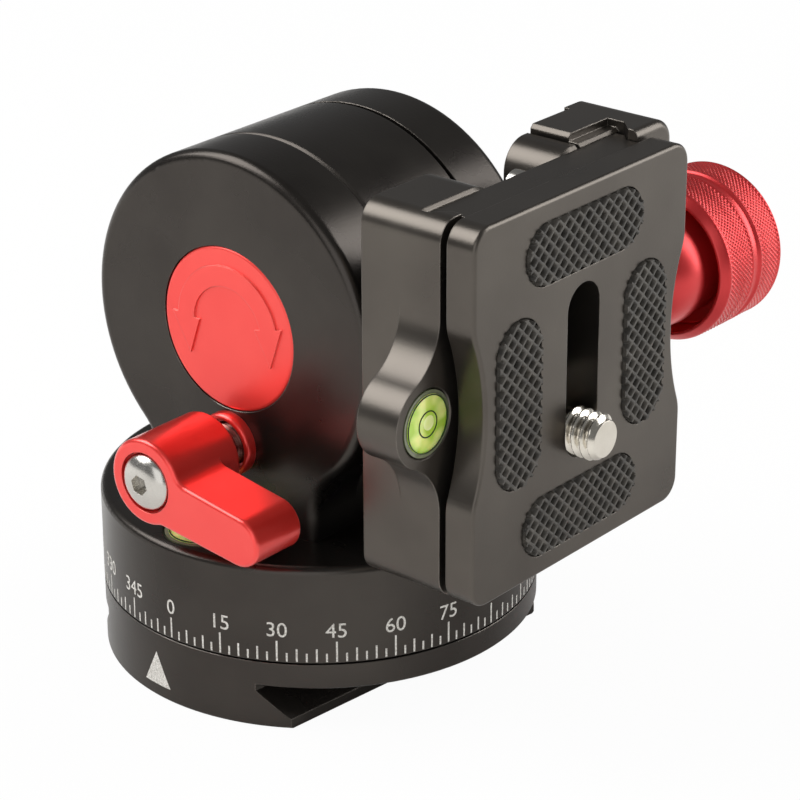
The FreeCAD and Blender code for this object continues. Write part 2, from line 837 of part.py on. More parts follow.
def level_boss():
    """Half-depth boss beside the left jaw that holds the level, blended into the jaw's side."""
    y0, y1 = clamp_front_y, clamp_front_y + level_boss_depth
    centre = Vector(level_boss_x, 0, tilt_height)
    rise = clamp_left_x - level_boss_blend - level_boss_x
    reach = level_boss_radius + level_boss_blend
    half = math.sqrt(reach ** 2 - rise ** 2)
    ratio = level_boss_radius / reach
    touch_x = level_boss_x + rise * ratio
    touch_z = half * ratio
    body = prism([Vector(clamp_left_x, y0, tilt_height - half), Vector(touch_x, y0, tilt_height - touch_z),
                  Vector(touch_x, y0, tilt_height + touch_z), Vector(clamp_left_x, y0, tilt_height + half),
                  Vector(clamp_left_x + clamp_corner, y0, tilt_height + half),
                  Vector(clamp_left_x + clamp_corner, y0, tilt_height - half)], Y * (y1 - y0))
    blends = [cylinder(2 * level_boss_blend, y0, y1, Y,
                       Vector(clamp_left_x - level_boss_blend, 0, tilt_height + hand * half))
              for hand in (-1, 1)]
    return fuse(cylinder(2 * level_boss_radius, y0, y1, Y, centre), cut(body, *blends))


def clamp_vial_mouth():
    return Vector(level_boss_x, clamp_front_y, tilt_height)


def clamp_body():
    """Fixed jaw and floor of the clamp."""
    solid = fuse(clamp_blank(clamp_left_x, clamp_split_x, clamp_back_y), level_boss())
    solid = cut(solid, dovetail_channel(clamp_left_x, clamp_split_x), scallop(-1), scallop(1),
                vial_pocket(clamp_vial_diameter, clamp_vial_depth, Y * -1, clamp_vial_mouth()),
                cylinder(clamp_stud_diameter, clamp_stud_start_x, clamp_split_x, X, screw_centre))
    solid = soften(solid, floor_chamfer, floor_edge, rounded=False)
    for centre in guide_centres():
        solid = cut(solid, cylinder(guide_pin_diameter, guide_pin_start_x, clamp_split_x, X, centre),
                    cylinder(spring_outer_diameter + 2 * running_fit, clamp_split_x - spring_pocket_depth,
                             clamp_split_x, X, centre))
    return cut(solid, *clamp_screw_holes())


def clamp_screws():
    return Part.makeCompound([countersunk_screw(clamp_screw_diameter, clamp_screw_length, Y,
                                                Vector(0, clamp_floor_y, z)) for z in clamp_screw_heights()])


def guide_pins():
    return Part.makeCompound([cylinder(guide_pin_diameter, guide_pin_start_x, guide_pin_end_x, X, c)
                              for c in guide_centres()])


def jaw_springs():
    """Springs round the guide pins that open the jaw, as plain tubes."""
    start = clamp_split_x - spring_pocket_depth
    return Part.makeCompound([ring(spring_outer_diameter, spring_outer_diameter - 2 * spring_wire, start,
                                   jaw_left_x - running_fit, X, c) for c in guide_centres()])


def stud_end_x():
    return knob_end_x - stud_stop_thickness - stud_stop_inset


def clamp_stud():
    return cylinder(clamp_stud_diameter, clamp_stud_start_x, stud_end_x(), X, screw_centre)


def stud_stop():
    """Washer on the stud's end that keeps the knob on."""
    return cylinder(stud_stop_diameter, stud_end_x(), stud_end_x() + stud_stop_thickness, X, screw_centre)


def jaw_ledges():
    """Steps down to the floor's height at both ends of the moving jaw, over the channel."""
    root = rail_width / 2 + dovetail_play + relief_width
    y0, y1 = clamp_floor_y, clamp_floor_y + jaw_ledge
    return [block(jaw_left_x, root, y0, y1, clamp_high_z, clamp_high_z + jaw_rise),
            block(jaw_left_x, root, y0, y1, clamp_low_z - jaw_rise, clamp_low_z)]


def moving_jaw():
    """Jaw that the knob draws in."""
    heel_y = clamp_back_y + heel_step
    low, high = clamp_low_z - jaw_rise, clamp_high_z + jaw_rise
    solid = clamp_blank(jaw_left_x, clamp_right_x, heel_y, jaw_rise)
    solid = cut(solid, block(jaw_left_x, clamp_right_x - heel_width, clamp_back_y, heel_y, low, high))
    solid = soften(solid, clamp_edge, lambda e: lies_at(e, "x", jaw_left_x)
                   and (lies_at(e, "z", low) or lies_at(e, "z", high)), rounded=False)
    solid = cut(solid, dovetail_channel(jaw_left_x, clamp_right_x), *jaw_ledges())
    solid = soften(solid, floor_chamfer, floor_edge, rounded=False)
    solid = soften(solid, clamp_edge * 2, lambda e: lies_at(e, "x", clamp_right_x)
                   and lies_at(e, "y", clamp_front_y) and e.BoundBox.ZLength > 1)
    solid = cut(solid, cylinder(clamp_stud_diameter + 4 * running_fit, jaw_left_x, clamp_right_x, X,
                                screw_centre))
    for centre in guide_centres():
        solid = cut(solid, cylinder(guide_pin_diameter + 2 * running_fit, jaw_left_x,
                                    guide_pin_end_x + loose_gap, X, centre))
    return solid


def knob_washer():
    return ring(knob_washer_diameter, clamp_stud_diameter + 4 * running_fit, clamp_right_x,
                clamp_right_x + knob_washer_thickness, X, screw_centre)


def clamp_knob():
    """Round knob with two gripping bands, a domed hub and a recess in its outer end."""
    rim = knob_diameter / 2
    hub_start = clamp_right_x + knob_washer_thickness + washer_play
    hub = knob_hub_diameter / 2
    neck = knob_hub_neck_diameter / 2
    recess = knob_recess_diameter / 2
    recess_end = knob_start_x + knob_recess_depth
    groove0 = knob_start_x + knob_groove_place - knob_groove_width / 2
    groove1 = groove0 + knob_groove_width
    groove_r = rim - knob_groove_depth
    dome = [(knob_hub_x - knob_hub_length * math.cos(math.radians(a)),
             neck + (hub - neck) * math.sin(math.radians(a))) for a in (0, 18, 36, 54, 72, 90)]
    profile = [(hub_start, 0), (hub_start, neck)] + dome + [
        (recess_end, hub - knob_groove_depth), (recess_end, recess), (knob_start_x, recess),
        (knob_start_x, rim - knob_rim_taper), (knob_start_x + knob_rim_taper, rim),
        (groove0, rim), (groove0 + knob_groove_depth, groove_r), (groove1 - knob_groove_depth, groove_r),
        (groove1, rim), (knob_end_x - knob_rim_taper / 2, rim), (knob_end_x, rim - knob_rim_taper / 2),
        (knob_end_x, 0)]
    solid = turned(profile, X, screw_centre)
    pocket = stud_end_x() - jaw_travel - loose_gap
    return cut(solid, cylinder(clamp_stud_diameter + 2 * running_fit, hub_start, knob_end_x, X, screw_centre),
               cylinder(knob_end_recess_diameter, pocket, knob_end_x, X, screw_centre))


# Camera plate

def plate_waist(side):
    """Shallow arc cut from the middle of one long side."""
    radius = (waist_half_length ** 2 + waist_depth ** 2) / (2 * waist_depth)
    centre = Vector(side * (plate_width / 2 - waist_depth + radius), 0, tilt_height)
    return cylinder(2 * radius, plate_front_y, plate_back_y, Y, centre)


def plate_body():
    half = plate_width / 2
    low, high = tilt_height - plate_length / 2, tilt_height + plate_length / 2
    solid = block(-half, half, plate_front_y, plate_back_y, low, high)
    solid = soften(solid, plate_corner, lambda e: e.BoundBox.YLength > 1)
    solid = cut(solid, plate_waist(-1), plate_waist(1))
    ends = (tilt_height - waist_half_length, tilt_height + waist_half_length)
    solid = soften(solid, waist_blend, lambda e: e.BoundBox.YLength > 1
                   and any(lies_at(e, "z", z) for z in ends))
    return soften(solid, plate_edge, lambda e: lies_at(e, "y", plate_front_y))


def plate_rail():
    """Dovetail rail on the back of the plate."""
    wide = rail_width / 2
    waist = wide - rail_flank
    lip_y = rail_back_y - rail_lip
    profile = [(-wide, rail_back_y), (-wide, lip_y), (-waist, lip_y - rail_flank), (-waist, plate_back_y),
               (waist, plate_back_y), (waist, lip_y - rail_flank), (wide, lip_y), (wide, rail_back_y)]
    length = plate_length - 2 * rail_end_step
    low = tilt_height - length / 2
    return prism([Vector(x, y, low) for x, y in profile], Z * length)


def pad_places():
    """Name, place and size of each rubber pad."""
    side = plate_width / 2 - pad_side_inset
    return {"pad_upper": (0, tilt_height + pad_offset, pad_long, pad_short),
            "pad_lower": (0, tilt_height - pad_offset, pad_long, pad_short),
            "pad_left": (-side, tilt_height, pad_side_short, pad_side_long),
            "pad_right": (side, tilt_height, pad_side_short, pad_side_long)}


def pad_seat(name):
    x, z, width, height = pad_places()[name]
    return round_slot(x, z, width, height, plate_front_y, plate_front_y + pad_seat_depth)


def rubber_pad(name):
    x, z, width, height = pad_places()[name]
    room = 2 * pad_side_clearance
    return round_slot(x, z, width - room, height - room, plate_front_y - pad_rise,
                      plate_front_y + pad_seat_depth)


def stop_places():
    return [Vector(0, rail_back_y, tilt_height + side * stop_offset) for side in (-1, 1)]


def quick_plate():
    """Plate with its dovetail rail, the screw slot and the pad seats."""
    slot_middle = (slot_low_z + slot_high_z) / 2
    slot_height = slot_high_z - slot_low_z
    head_height = slot_height + slot_head_width - slot_width
    solid = cut(fuse(plate_body(), plate_rail()),
                round_slot(0, slot_middle, slot_width, slot_height, plate_front_y, rail_back_y),
                round_slot(0, slot_middle, slot_head_width, head_height, rail_back_y - slot_head_depth,
                           rail_back_y))
    for name in pad_places():
        solid = cut(solid, pad_seat(name))
    for place in stop_places():
        solid = cut(solid, cylinder(stop_thread_diameter, 0, stop_thread_depth, Y * -1, place))
    return solid


def stop_screws():
    """Small screws that keep the plate from sliding out of a loose clamp."""
    return Part.makeCompound([fuse(cylinder(stop_screw_diameter, 0, stop_screw_rise, Y, p),
                                   cylinder(stop_thread_diameter, -stop_thread_depth, 0, Y, p))
                              for p in stop_places()])


# Camera screw

def camera_screw_centre():
    return Vector(0, 0, camera_screw_z)


def head_seat_y():
    return rail_back_y - slot_head_depth


def screw_washer():
    """Slip washer under the screw's head that slides in the plate's slot."""
    seat = head_seat_y() + washer_play
    return ring(screw_head_diameter, screw_neck_diameter + 4 * running_fit, seat,
                seat + screw_washer_thickness, Y, camera_screw_centre())


def camera_screw():
    """Camera screw with a slotted head behind the plate."""
    head0 = head_seat_y() + 2 * washer_play + screw_washer_thickness
    end = plate_front_y - screw_reach
    thread_end = plate_front_y - screw_thread_gap
    thread = soften(cylinder(camera_thread_diameter, end, thread_end, Y, camera_screw_centre()),
                    screw_chamfer, lambda e: lies_at(e, "y", end), rounded=False)
    neck = cylinder(screw_neck_diameter, thread_end, head0, Y, camera_screw_centre())
    head = cylinder(screw_head_diameter, head0, head0 + screw_head_thickness, Y, camera_screw_centre())
    slot = screw_head_thickness / 2
    groove = block(-screw_head_diameter, screw_head_diameter, head0 + slot, head0 + screw_head_thickness,
                   camera_screw_z - slot / 2, camera_screw_z + slot / 2)
    return cut(fuse(thread, neck, head), groove)


# Panning lock

def pan_lock_tip():
    start = spindle_shoulder_diameter / 2 + 2 * washer_play
    return cylinder(pan_lock_tip_diameter, start, start + pan_lock_tip_length, pan_lock_axis(),
                    pan_lock_centre())


def pan_lock_knob_start():
    return base_radius + pan_lock_knob_gap


def pan_lock_stud():
    start = spindle_shoulder_diameter / 2 + 2 * washer_play + pan_lock_tip_length
    end = pan_lock_knob_start() + pan_lock_knob_length / 2
    return cylinder(pan_lock_stud_diameter - 2 * running_fit, start, end, pan_lock_axis(), pan_lock_centre())


def pan_lock_knob():
    start = pan_lock_knob_start()
    end = start + pan_lock_knob_length
    body = cylinder(pan_lock_knob_diameter, start, end, pan_lock_axis(), pan_lock_centre())
    body = soften(body, clamp_edge, lambda e: e.Closed, rounded=False)
    bore = cylinder(pan_lock_stud_diameter - 2 * running_fit, start, start + pan_lock_knob_length / 2,
                    pan_lock_axis(), pan_lock_centre())
    return cut(body, bore)


def all_parts():
    """Every piece by the name of its file."""
    parts = {
        "base_plate": base_plate(), "thread_reducer": thread_reducer(), "base_screws": base_screws(),
        "pan_spindle": pan_spindle(), "thrust_washer": thrust_washer(), "upper_washer": upper_washer(),
        "pan_retainer": pan_retainer(), "retainer_screw": retainer_screw(),
        "pan_housing": pan_housing(), "pan_bushing": pan_bushing(),
        "pan_vial_cup": vial_cup(pan_vial_diameter, pan_vial_depth, Z, pan_vial_mouth()),
        "pan_vial_lens": vial_lens(pan_vial_diameter, pan_vial_depth, Z, pan_vial_mouth()),
        "yoke": yoke(), "yoke_screws": yoke_screws(), "tilt_bushings": tilt_bushings(),
        "friction_washers": friction_washers(), "cap_left": cap_left(), "cap_right": cap_right(),
        "lock_collar": lock_collar(),
        "tilt_barrel": tilt_barrel(), "tilt_shaft": tilt_shaft(), "shaft_washers": shaft_washers(),
        "shaft_screws": shaft_screws(), "clamp_body": clamp_body(), "clamp_screws": clamp_screws(),
        "guide_pins": guide_pins(), "jaw_springs": jaw_springs(), "clamp_stud": clamp_stud(),
        "stud_stop": stud_stop(),
        "clamp_vial_cup": vial_cup(clamp_vial_diameter, clamp_vial_depth, Y * -1, clamp_vial_mouth()),
        "clamp_vial_lens": vial_lens(clamp_vial_diameter, clamp_vial_depth, Y * -1, clamp_vial_mouth()),
        "moving_jaw": moving_jaw(), "knob_washer": knob_washer(), "clamp_knob": clamp_knob(),
        "lock_lever": lock_lever(), "lock_stud": lock_stud(), "lever_screw": lever_screw(),
        "brake_pad": brake_pad(),
        "pan_lock_knob": pan_lock_knob(), "pan_lock_stud": pan_lock_stud(), "pan_lock_tip": pan_lock_tip(),
        "quick_plate": quick_plate(), "stop_screws": stop_screws(),
        "screw_washer": screw_washer(), "camera_screw": camera_screw(),
    }
    for name in pad_places():
        parts[name] = rubber_pad(name)
    return parts


def main():
    os.makedirs("parts", exist_ok=True)
    for name, shape in all_parts().items():
        shape.exportStep("parts/" + name + ".step")
        print(name, len(shape.Solids), round(shape.Volume, 1), shape.isValid())


main()
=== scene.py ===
import math

import bmesh
import bpy
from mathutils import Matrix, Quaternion, Vector


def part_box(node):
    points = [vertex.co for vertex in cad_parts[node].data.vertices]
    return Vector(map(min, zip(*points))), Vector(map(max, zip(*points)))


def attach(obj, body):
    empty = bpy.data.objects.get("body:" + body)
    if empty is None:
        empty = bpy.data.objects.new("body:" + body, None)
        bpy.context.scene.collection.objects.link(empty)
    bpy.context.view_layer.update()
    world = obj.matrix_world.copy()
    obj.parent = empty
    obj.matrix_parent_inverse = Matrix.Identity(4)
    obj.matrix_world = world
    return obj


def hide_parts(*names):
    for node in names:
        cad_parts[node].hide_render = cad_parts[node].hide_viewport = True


# Panoramic tripod head: finishes, fine shapes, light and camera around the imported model.
# Sizes are in millimetres and turn to metres where a mesh is made.

MM = 0.001
TURN = 2 * math.pi
Z_WAY = Vector((0, 0, 1))

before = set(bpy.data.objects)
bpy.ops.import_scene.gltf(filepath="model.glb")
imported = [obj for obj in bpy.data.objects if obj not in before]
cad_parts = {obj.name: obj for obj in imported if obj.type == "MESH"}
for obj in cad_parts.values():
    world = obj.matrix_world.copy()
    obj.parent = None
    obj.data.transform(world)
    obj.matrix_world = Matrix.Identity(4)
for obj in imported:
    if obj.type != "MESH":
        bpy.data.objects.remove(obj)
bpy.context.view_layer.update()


# Sizes read from the frame, in millimetres

def box_mm(name):
    low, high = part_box(name)
    return low / MM, high / MM


housing_low, housing_high = box_mm("pan_housing")
knob_low, knob_high = box_mm("clamp_knob")
screw_low, screw_high = box_mm("camera_screw")
plate_front = box_mm("quick_plate")[0].y
drum_low, drum_high = box_mm("tilt_barrel")
scale_radius = (housing_high.x - housing_low.x) / 2

# Dial: angles in degrees, number_thickness as a share of the font's size
tick_step = 2.5
tick_width = 0.25
tick_rise = 0.02
tick_sink = 0.1
tick_foot = 0.15
tick_heights = {15: 2.95, 5: 1.9, 2.5: 1.25}
number_step = 15
number_height = 2.05
number_base = 3.7
number_thickness = 0.1
dial_zero = 180
index_angle = 174
index_low = 1.9
index_high = 6.8
index_half_width = 2.5
index_tip_half_width = 0.02
index_rows = 12
index_columns = 8

# Clamp knob
knob_length = 13.9
knob_rim_round = 1.1
knob_edge = 0.7
knob_groove_at = 7.6
knob_groove_width = 1.8
knob_groove_depth = 0.4
knob_recess_radius = 9.7
knob_recess_depth = 4.5
knob_hub_radius = 8.2
knob_hub_neck = 4.8
knob_hub_front = -1.3
knob_hub_length = 5.6
knob_hub_steps = 12
knob_hub_shoulder = 0.4
knob_hub_step = 0.5
knob_hub_step_depth = 0.3
knob_hub_foot = 0.5
knob_end_recess = 5.5
knob_end_depth = 10.4
knob_bore = 3.05
knurl_pitch = 0.7
knurl_depth = 0.26
knurl_margin = 0.5
knurl_points = 6
rim_tolerance = 0.02

# Corner radii of the clamp knob and the panning lock knob
corner_sharp = 0.1
corner_fine = 0.2
corner_groove = 0.25
corner_small = 0.3
corner_recess = 0.4
corner_soft = 0.5
corner_rim_inner = 0.7
corner_rim_outer = 1.0

# Rubber pads
pad_cell_x = 2.02
pad_cell_z = 1.95
pad_ridge = 0.56
pad_lattice_rise = 0.75
pad_point_step = 0.11
pad_end_half_squared = 0.0004

# Screw threads
thread_flank_gain = 1.3
thread_flank_offset = 0.15
camera_pitch = 1.27
camera_pitch_steps = 12
camera_thread_depth = 0.72
camera_thread_reach = 0.95
camera_screw_sides = 96
camera_screw_radius = 3.175
camera_screw_tip = 0.75
camera_screw_neck = 2.6
camera_neck_step = 0.05
camera_screw_head = 2.4
camera_head_front_edge = 0.2
camera_head_back_edge = 0.3
camera_slot_depth = 1.2
camera_slot_half = 0.6
cutter_margin = 1
lock_pitch = 0.7
lock_pitch_steps = 10
lock_thread_depth = 0.35
lock_tip = 0.5
reducer_pitch = 1.27
reducer_pitch_steps = 12
small_part_sides = 72

# Lever screw
button_radius = 3.9
button_height = 2.3
button_shoulder = 0.5
button_shank = 1.5
button_edge = 0.2
button_dome_steps = 16
button_dome_power = 0.8
socket_radius = 1.4
socket_depth = 1.5
socket_turn = 12

# Smallest radius of a turned skin's first or last ring
axis_radius = 0.01

# Panning lock knob
grip_teeth = 40
grip_depth = 0.35
grip_points = 8
grip_angle = 39.7
grip_bore = 2.45
grip_inner_edge = 1.2
grip_outer_edge = 0.8
grip_margin = 0.5
grip_point_step = 0.5

# Springs of the jaw
spring_wire = 0.35
spring_turns = 9
spring_points = 24

# Round levels: every share is of the lens's radius
level_sides = 64
level_steps = 10
level_dome_rise = 0.2
level_dome_sink = 0.02
level_edge = 0.2
# The rim ring is painted shade: a dark line where the lens edge falls dark. The circle is print.
level_rings = (("circle", 0.42, 0.46), ("rim", 0.96, 0.99))  # name, inner and outer share
level_ring_depth = 0.12
bubble_sides = 48
bubble_share = 0.38
bubble_shift = 0.02
bubble_top = 0.01
bubble_rise = 0.09
bubble_foot = 0.4
bubble_foot_share = 0.3

# Finishes: sizes of their patterns, and the cosines between which an edge turns pale with a painted
# highlight that is partly rubbed-off anodise
tone_size = 14
edge_patch_size = 2.5
edge_width = 0.22
edge_width_bare = 0.1
edge_starts = 0.96
edge_full = 0.8
lathe_line_size = 0.35
scratch_stretch = 12.0

# Camera and light: clipping in metres, angles in degrees
camera_at = (-273.54, -241.24, 194.05)
camera_aim = (6.97, -8.58, 34.09)
camera_roll = -0.17
camera_lens = 131.8
camera_sensor = 36
camera_near = 0.01
camera_far = 20
lamp_aim = (0, 0, 45)
floor_half = 4000
floor_cloud_size = 400
floor_glow_share = 0.96
world_light = 0.4
world_seen = 1.0
world_mirror_loss = 0.22

# Each lamp's name, place, size and power in watts
LAMPS = (
    ("rear_softbox", (-340, 497, 640), (600, 600), 5.6),
    ("right_softbox", (595, -510, 350), (500, 700), 4.4),
    ("left_fill", (-700, -350, 300), (700, 700), 1.6),
)


# Meshes

def polar(axis, centre):
    """Gives the point at a place along the axis, a radius and an angle about it."""
    side = {"X": (Vector((0, 1, 0)), Vector((0, 0, 1))),
            "Y": (Vector((0, 0, 1)), Vector((1, 0, 0))),
            "Z": (Vector((1, 0, 0)), Vector((0, 1, 0)))}[axis]
    along_way = side[0].cross(side[1])
    middle = Vector(centre)

    def spot(along, radius, angle):
        out = side[0] * math.cos(angle) + side[1] * math.sin(angle)
        return middle + along_way * along + radius * out
    return spot


def rounded(points, steps=4):
    """Closed outline of (x, y, radius) corners with each corner drawn as a curve."""
    made = []
    for i, (x, y, radius) in enumerate(points):
        here = Vector((x, y))
        if radius == 0:
            made.append(here)
            continue
        before = Vector(points[i - 1][:2]) - here
        after = Vector(points[(i + 1) % len(points)][:2]) - here
        half = before.angle(after) / 2
        reach = min(radius / math.tan(half), before.length / 2, after.length / 2)
        start = here + before.normalized() * reach
        end = here + after.normalized() * reach
        for step in range(steps + 1):
            t = step / steps
            made.append(start * (1 - t) ** 2 + here * 2 * t * (1 - t) + end * t ** 2)
    return made


def finely(points, longest, wanted):
    """Outline with each side that passes the test divided into steps no longer than longest."""
    made = []
    for i, point in enumerate(points):
        after = points[(i + 1) % len(points)]
        made.append(point)
        if wanted(point, after):
            count = max(1, math.ceil((after - point).length / longest))
            made += [point.lerp(after, step / count) for step in range(1, count)]
    return made


def new_object(name, mesh, material, smooth_angle=40):
    """Object of a finished mesh, smooth except at its sharp edges."""
    mesh.shade_smooth()
    mesh.set_sharp_from_angle(angle=math.radians(smooth_angle))
    mesh.materials.clear()
    mesh.materials.append(material)
    made = bpy.data.objects.new(name, mesh)
    bpy.context.scene.collection.objects.link(made)
    return made


def mesh_of(name, points, faces):
    """Mesh of points in millimetres, with its faces turned outward."""
    mesh = bpy.data.meshes.new(name)
    mesh.from_pydata([Vector(p) * MM for p in points], [], faces)
    work = bmesh.new()
    work.from_mesh(mesh)
    bmesh.ops.remove_doubles(work, verts=work.verts, dist=1e-7)
    bmesh.ops.recalc_face_normals(work, faces=work.faces)
    work.to_mesh(mesh)
    work.free()
    return mesh


def skin(name, rings, looped):
    """Mesh through rings of points: looped joins last and first, otherwise both ends are capped."""
    count = len(rings[0])
    points = [p for ring in rings for p in ring]
    faces = []
    for i in range(len(rings) if looped else len(rings) - 1):
        a, b = i * count, ((i + 1) % len(rings)) * count
        faces += [(a + k, a + (k + 1) % count, b + (k + 1) % count, b + k)
                  for k in range(count)]
    if not looped:
        faces += [tuple(range(count)), tuple(range(len(points) - count, len(points)))]
    return mesh_of(name, points, faces)


def turned(name, outline, spot, count, looped, field=None):
    """Turned mesh of (along, radius) points, where field gives a change of radius."""
    angles = [TURN * k / count for k in range(count)]
    rings = [[spot(p.x, p.y + (field(p.x, p.y, a) if field else 0), a) for a in angles]
             for p in outline]
    return skin(name, rings, looped)


def saw(value):
    """Distance to the nearest whole number, from 0 to 1 half way between two."""
    return 2 * abs(value - round(value))


def piece(made, body, replaces=()):
    """Puts a finished object on its body."""
    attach(made, body)
    if replaces:
        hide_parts(*replaces)
    return made


def mesh_from(made):
    """Mesh of an object with its modifiers and its curve worked out."""
    depsgraph = bpy.context.evaluated_depsgraph_get()
    return bpy.data.meshes.new_from_object(made.evaluated_get(depsgraph))


def carved(mesh, cutters):
    """Mesh with closed cutter meshes taken away."""
    base = bpy.data.objects.new("carving", mesh)
    tools = [bpy.data.objects.new("cutter", cutter) for cutter in cutters]
    for made in [base, *tools]:
        bpy.context.scene.collection.objects.link(made)
    for tool in tools:
        taken = base.modifiers.new("cut", "BOOLEAN")
        taken.operation = "DIFFERENCE"
        taken.solver = "EXACT"
        taken.object = tool
    bpy.context.view_layer.update()
    result = mesh_from(base)
    for made in [base, *tools]:
        bpy.data.objects.remove(made)
    return result


# Materials

def linear(hex_colour):
    """Linear RGBA of an sRGB hex colour."""
    parts = [int(hex_colour[i:i + 2], 16) / 255 for i in (1, 3, 5)]
    return (*(p / 12.92 if p <= 0.04045 else ((p + 0.055) / 1.055) ** 2.4 for p in parts), 1.0)


def add(tree, kind, inputs=None, **settings):
    """Adds one node; inputs maps its sockets to values or to other nodes' outputs."""
    made = tree.nodes.new("ShaderNode" + kind)
    for name, value in settings.items():
        setattr(made, name, value)
    for name, value in (inputs or {}).items():
        if isinstance(value, bpy.types.NodeSocket):
            tree.links.new(value, made.inputs[name])
        else:
            made.inputs[name].default_value = value
    return made


def per_metre(size_mm):
    """Texture scale that gives features of a real size."""
    return 1 / (size_mm * MM)


def finish(name, fixed, driven):
    """Material with fixed values on the shader's own sockets and driven ones from its nodes."""
    made = bpy.data.materials.new(name)
    made.use_nodes = True
    tree = made.node_tree
    tree.nodes.clear()
    shader = add(tree, "BsdfPrincipled", {**fixed, **driven(tree)})
    add(tree, "OutputMaterial", {"Surface": shader.outputs["BSDF"]})
    return made


def between(tree, share, first, second):
    """Colour that goes from first to second by a share."""
    mix = add(tree, "Mix", {0: share, 6: first, 7: second}, data_type="RGBA")
    return mix.outputs[2]


def ranged(tree, value, low, high, new_low, new_high):
    """Value taken from one range to another, held at its ends."""
    made = add(tree, "MapRange", {"Value": value, "From Min": low, "From Max": high,
                                  "To Min": new_low, "To Max": new_high})
    return made.outputs["Result"]


def object_place(tree):
    """Place on the object, for patterns of a real size."""
    return add(tree, "TexCoord").outputs["Object"]


def noise(tree, place, size_mm, detail):
    """Noise with features of a real size, from 0 to 1."""
    made = add(tree, "TexNoise", {"Vector": place, "Scale": per_metre(size_mm), "Detail": detail})
    return made.outputs["Fac"]


def bumped(tree, height, strength, depth_mm, normal=None):
    """Normal of a surface with small heights, on top of another normal if there is one."""
    inputs = {"Strength": strength, "Distance": depth_mm * MM, "Height": height}
    if normal is not None:
        inputs["Normal"] = normal
    return add(tree, "Bump", inputs).outputs["Normal"]


def soft_edge(tree, width_mm):
    """Node that rounds sharp edges by their normal."""
    return add(tree, "Bevel", {"Radius": width_mm * MM}, samples=4)


def worn_edge(tree, width_mm):
    """Normal that rounds sharp edges, and a share that is 1 along them, where the painted edge
    highlight goes.
    """
    rounder = soft_edge(tree, width_mm)
    flat = add(tree, "NewGeometry")
    facing = add(tree, "VectorMath", {0: rounder.outputs["Normal"], 1: flat.outputs["Normal"]},
                 operation="DOT_PRODUCT")
    share = ranged(tree, facing.outputs["Value"], edge_starts, edge_full, 0, 1)
    return rounder.outputs["Normal"], share


def anodised(tree, deep, pale, edge, grain_mm, rough, grain_strength, lines=None):
    """Blasted and dyed aluminium: fine grain, slow clouds of tone and paler edges, a painted
    highlight that is partly rubbed-off anodise.
    """
    place = object_place(tree)
    height = noise(tree, place, grain_mm, 2.0)
    cloud = noise(tree, place, tone_size, 3.0)
    edge_patches = noise(tree, place, edge_patch_size, 4.0)
    normal, highlight_and_wear_share = worn_edge(tree, edge_width)
    tone = between(tree, ranged(tree, cloud, 0.3, 0.7, 0, 1), deep, pale)
    highlight_and_wear_mask = add(tree, "Math", {0: highlight_and_wear_share, 1: ranged(tree, edge_patches, 0.35, 0.65, 0.15, 0.6)},
               operation="MULTIPLY")
    # Paler colour along edges: painted highlight, partly rubbed-off anodise, broken into patches.
    colour = between(tree, highlight_and_wear_mask.outputs["Value"], tone, edge)
    if lines:
        both = add(tree, "Math", {0: height, 1: lines(tree, place)}, operation="ADD")
        height = both.outputs["Value"]
    roughness = ranged(tree, cloud, 0.3, 0.7, rough - 0.03, rough + 0.04)
    return {"Base Color": colour, "Roughness": roughness,
            "Normal": bumped(tree, height, grain_strength, 0.02, normal)}


def turning_lines(tree, place, axis, centre_mm):
    """Fine rings that a lathe leaves round an axis, on its round walls and its end faces."""
    moved = add(tree, "VectorMath", {0: place, 1: Vector(centre_mm) * MM},
                operation="SUBTRACT")
    split = add(tree, "SeparateXYZ", {"Vector": moved.outputs["Vector"]})
    across = [split.outputs[name] for name in "XYZ" if name != axis]
    flat = add(tree, "CombineXYZ", {"X": across[0], "Y": across[1]})
    radius = add(tree, "VectorMath", {0: flat.outputs["Vector"]}, operation="LENGTH")
    way = add(tree, "Math", {0: split.outputs[axis], 1: radius.outputs["Value"]},
              operation="ADD")
    rings = add(tree, "TexNoise", {"W": way.outputs["Value"], "Detail": 3.0,
                                   "Scale": per_metre(lathe_line_size)}, noise_dimensions="1D")
    return rings.outputs["Fac"]


# Pale edge colours: a painted highlight along sharp edges, partly rubbed-off anodise; the pink of
# the red one is painted highlight only.
black_edge_highlight_and_wear = linear("#a39c94")
red_edge_highlight_and_wear = linear("#ff9a90")


def black_blasted():
    """Black anodised aluminium, glass-bead blasted: a warm dark satin with wide highlights."""
    return finish("black_anodised_blasted", {"Metallic": 0.92}, lambda tree: anodised(
        tree, linear("#57524d"), linear("#625d57"), black_edge_highlight_and_wear,
        grain_mm=0.3, rough=0.3, grain_strength=0.35))


def black_turned(name, axis, centre_mm):
    """Black anodised aluminium, turned: the same satin with faint rings from the tool."""
    return finish(name, {"Metallic": 0.92}, lambda tree: anodised(
        tree, linear("#403c39"), linear("#494541"), black_edge_highlight_and_wear,
        grain_mm=0.3, rough=0.28, grain_strength=0.4,
        lines=lambda t, place: turning_lines(t, place, axis, centre_mm)))


def red_blasted():
    """Red anodised aluminium, fine blasted: clear bright red with pinkish satin highlights."""
    fixed = {"Metallic": 0.55, "Coat Weight": 0.8, "Coat Roughness": 0.22, "Coat IOR": 1.6}
    return finish("red_anodised_blasted", fixed, lambda tree: anodised(
        tree, linear("#f6302a"), linear("#fc4038"), red_edge_highlight_and_wear,
        grain_mm=0.25, rough=0.3, grain_strength=0.2))


def red_turned(name, deep, pale, metal, axis, centre_mm):
    """Red anodised aluminium, turned: a sharper satin with faint rings."""
    fixed = {"Metallic": metal, "Coat Weight": 0.5, "Coat Roughness": 0.3, "Coat IOR": 1.6}
    return finish(name, fixed, lambda tree: anodised(
        tree, linear(deep), linear(pale), red_edge_highlight_and_wear,
        grain_mm=0.25, rough=0.34, grain_strength=0.2,
        lines=lambda t, place: turning_lines(t, place, axis, centre_mm)))


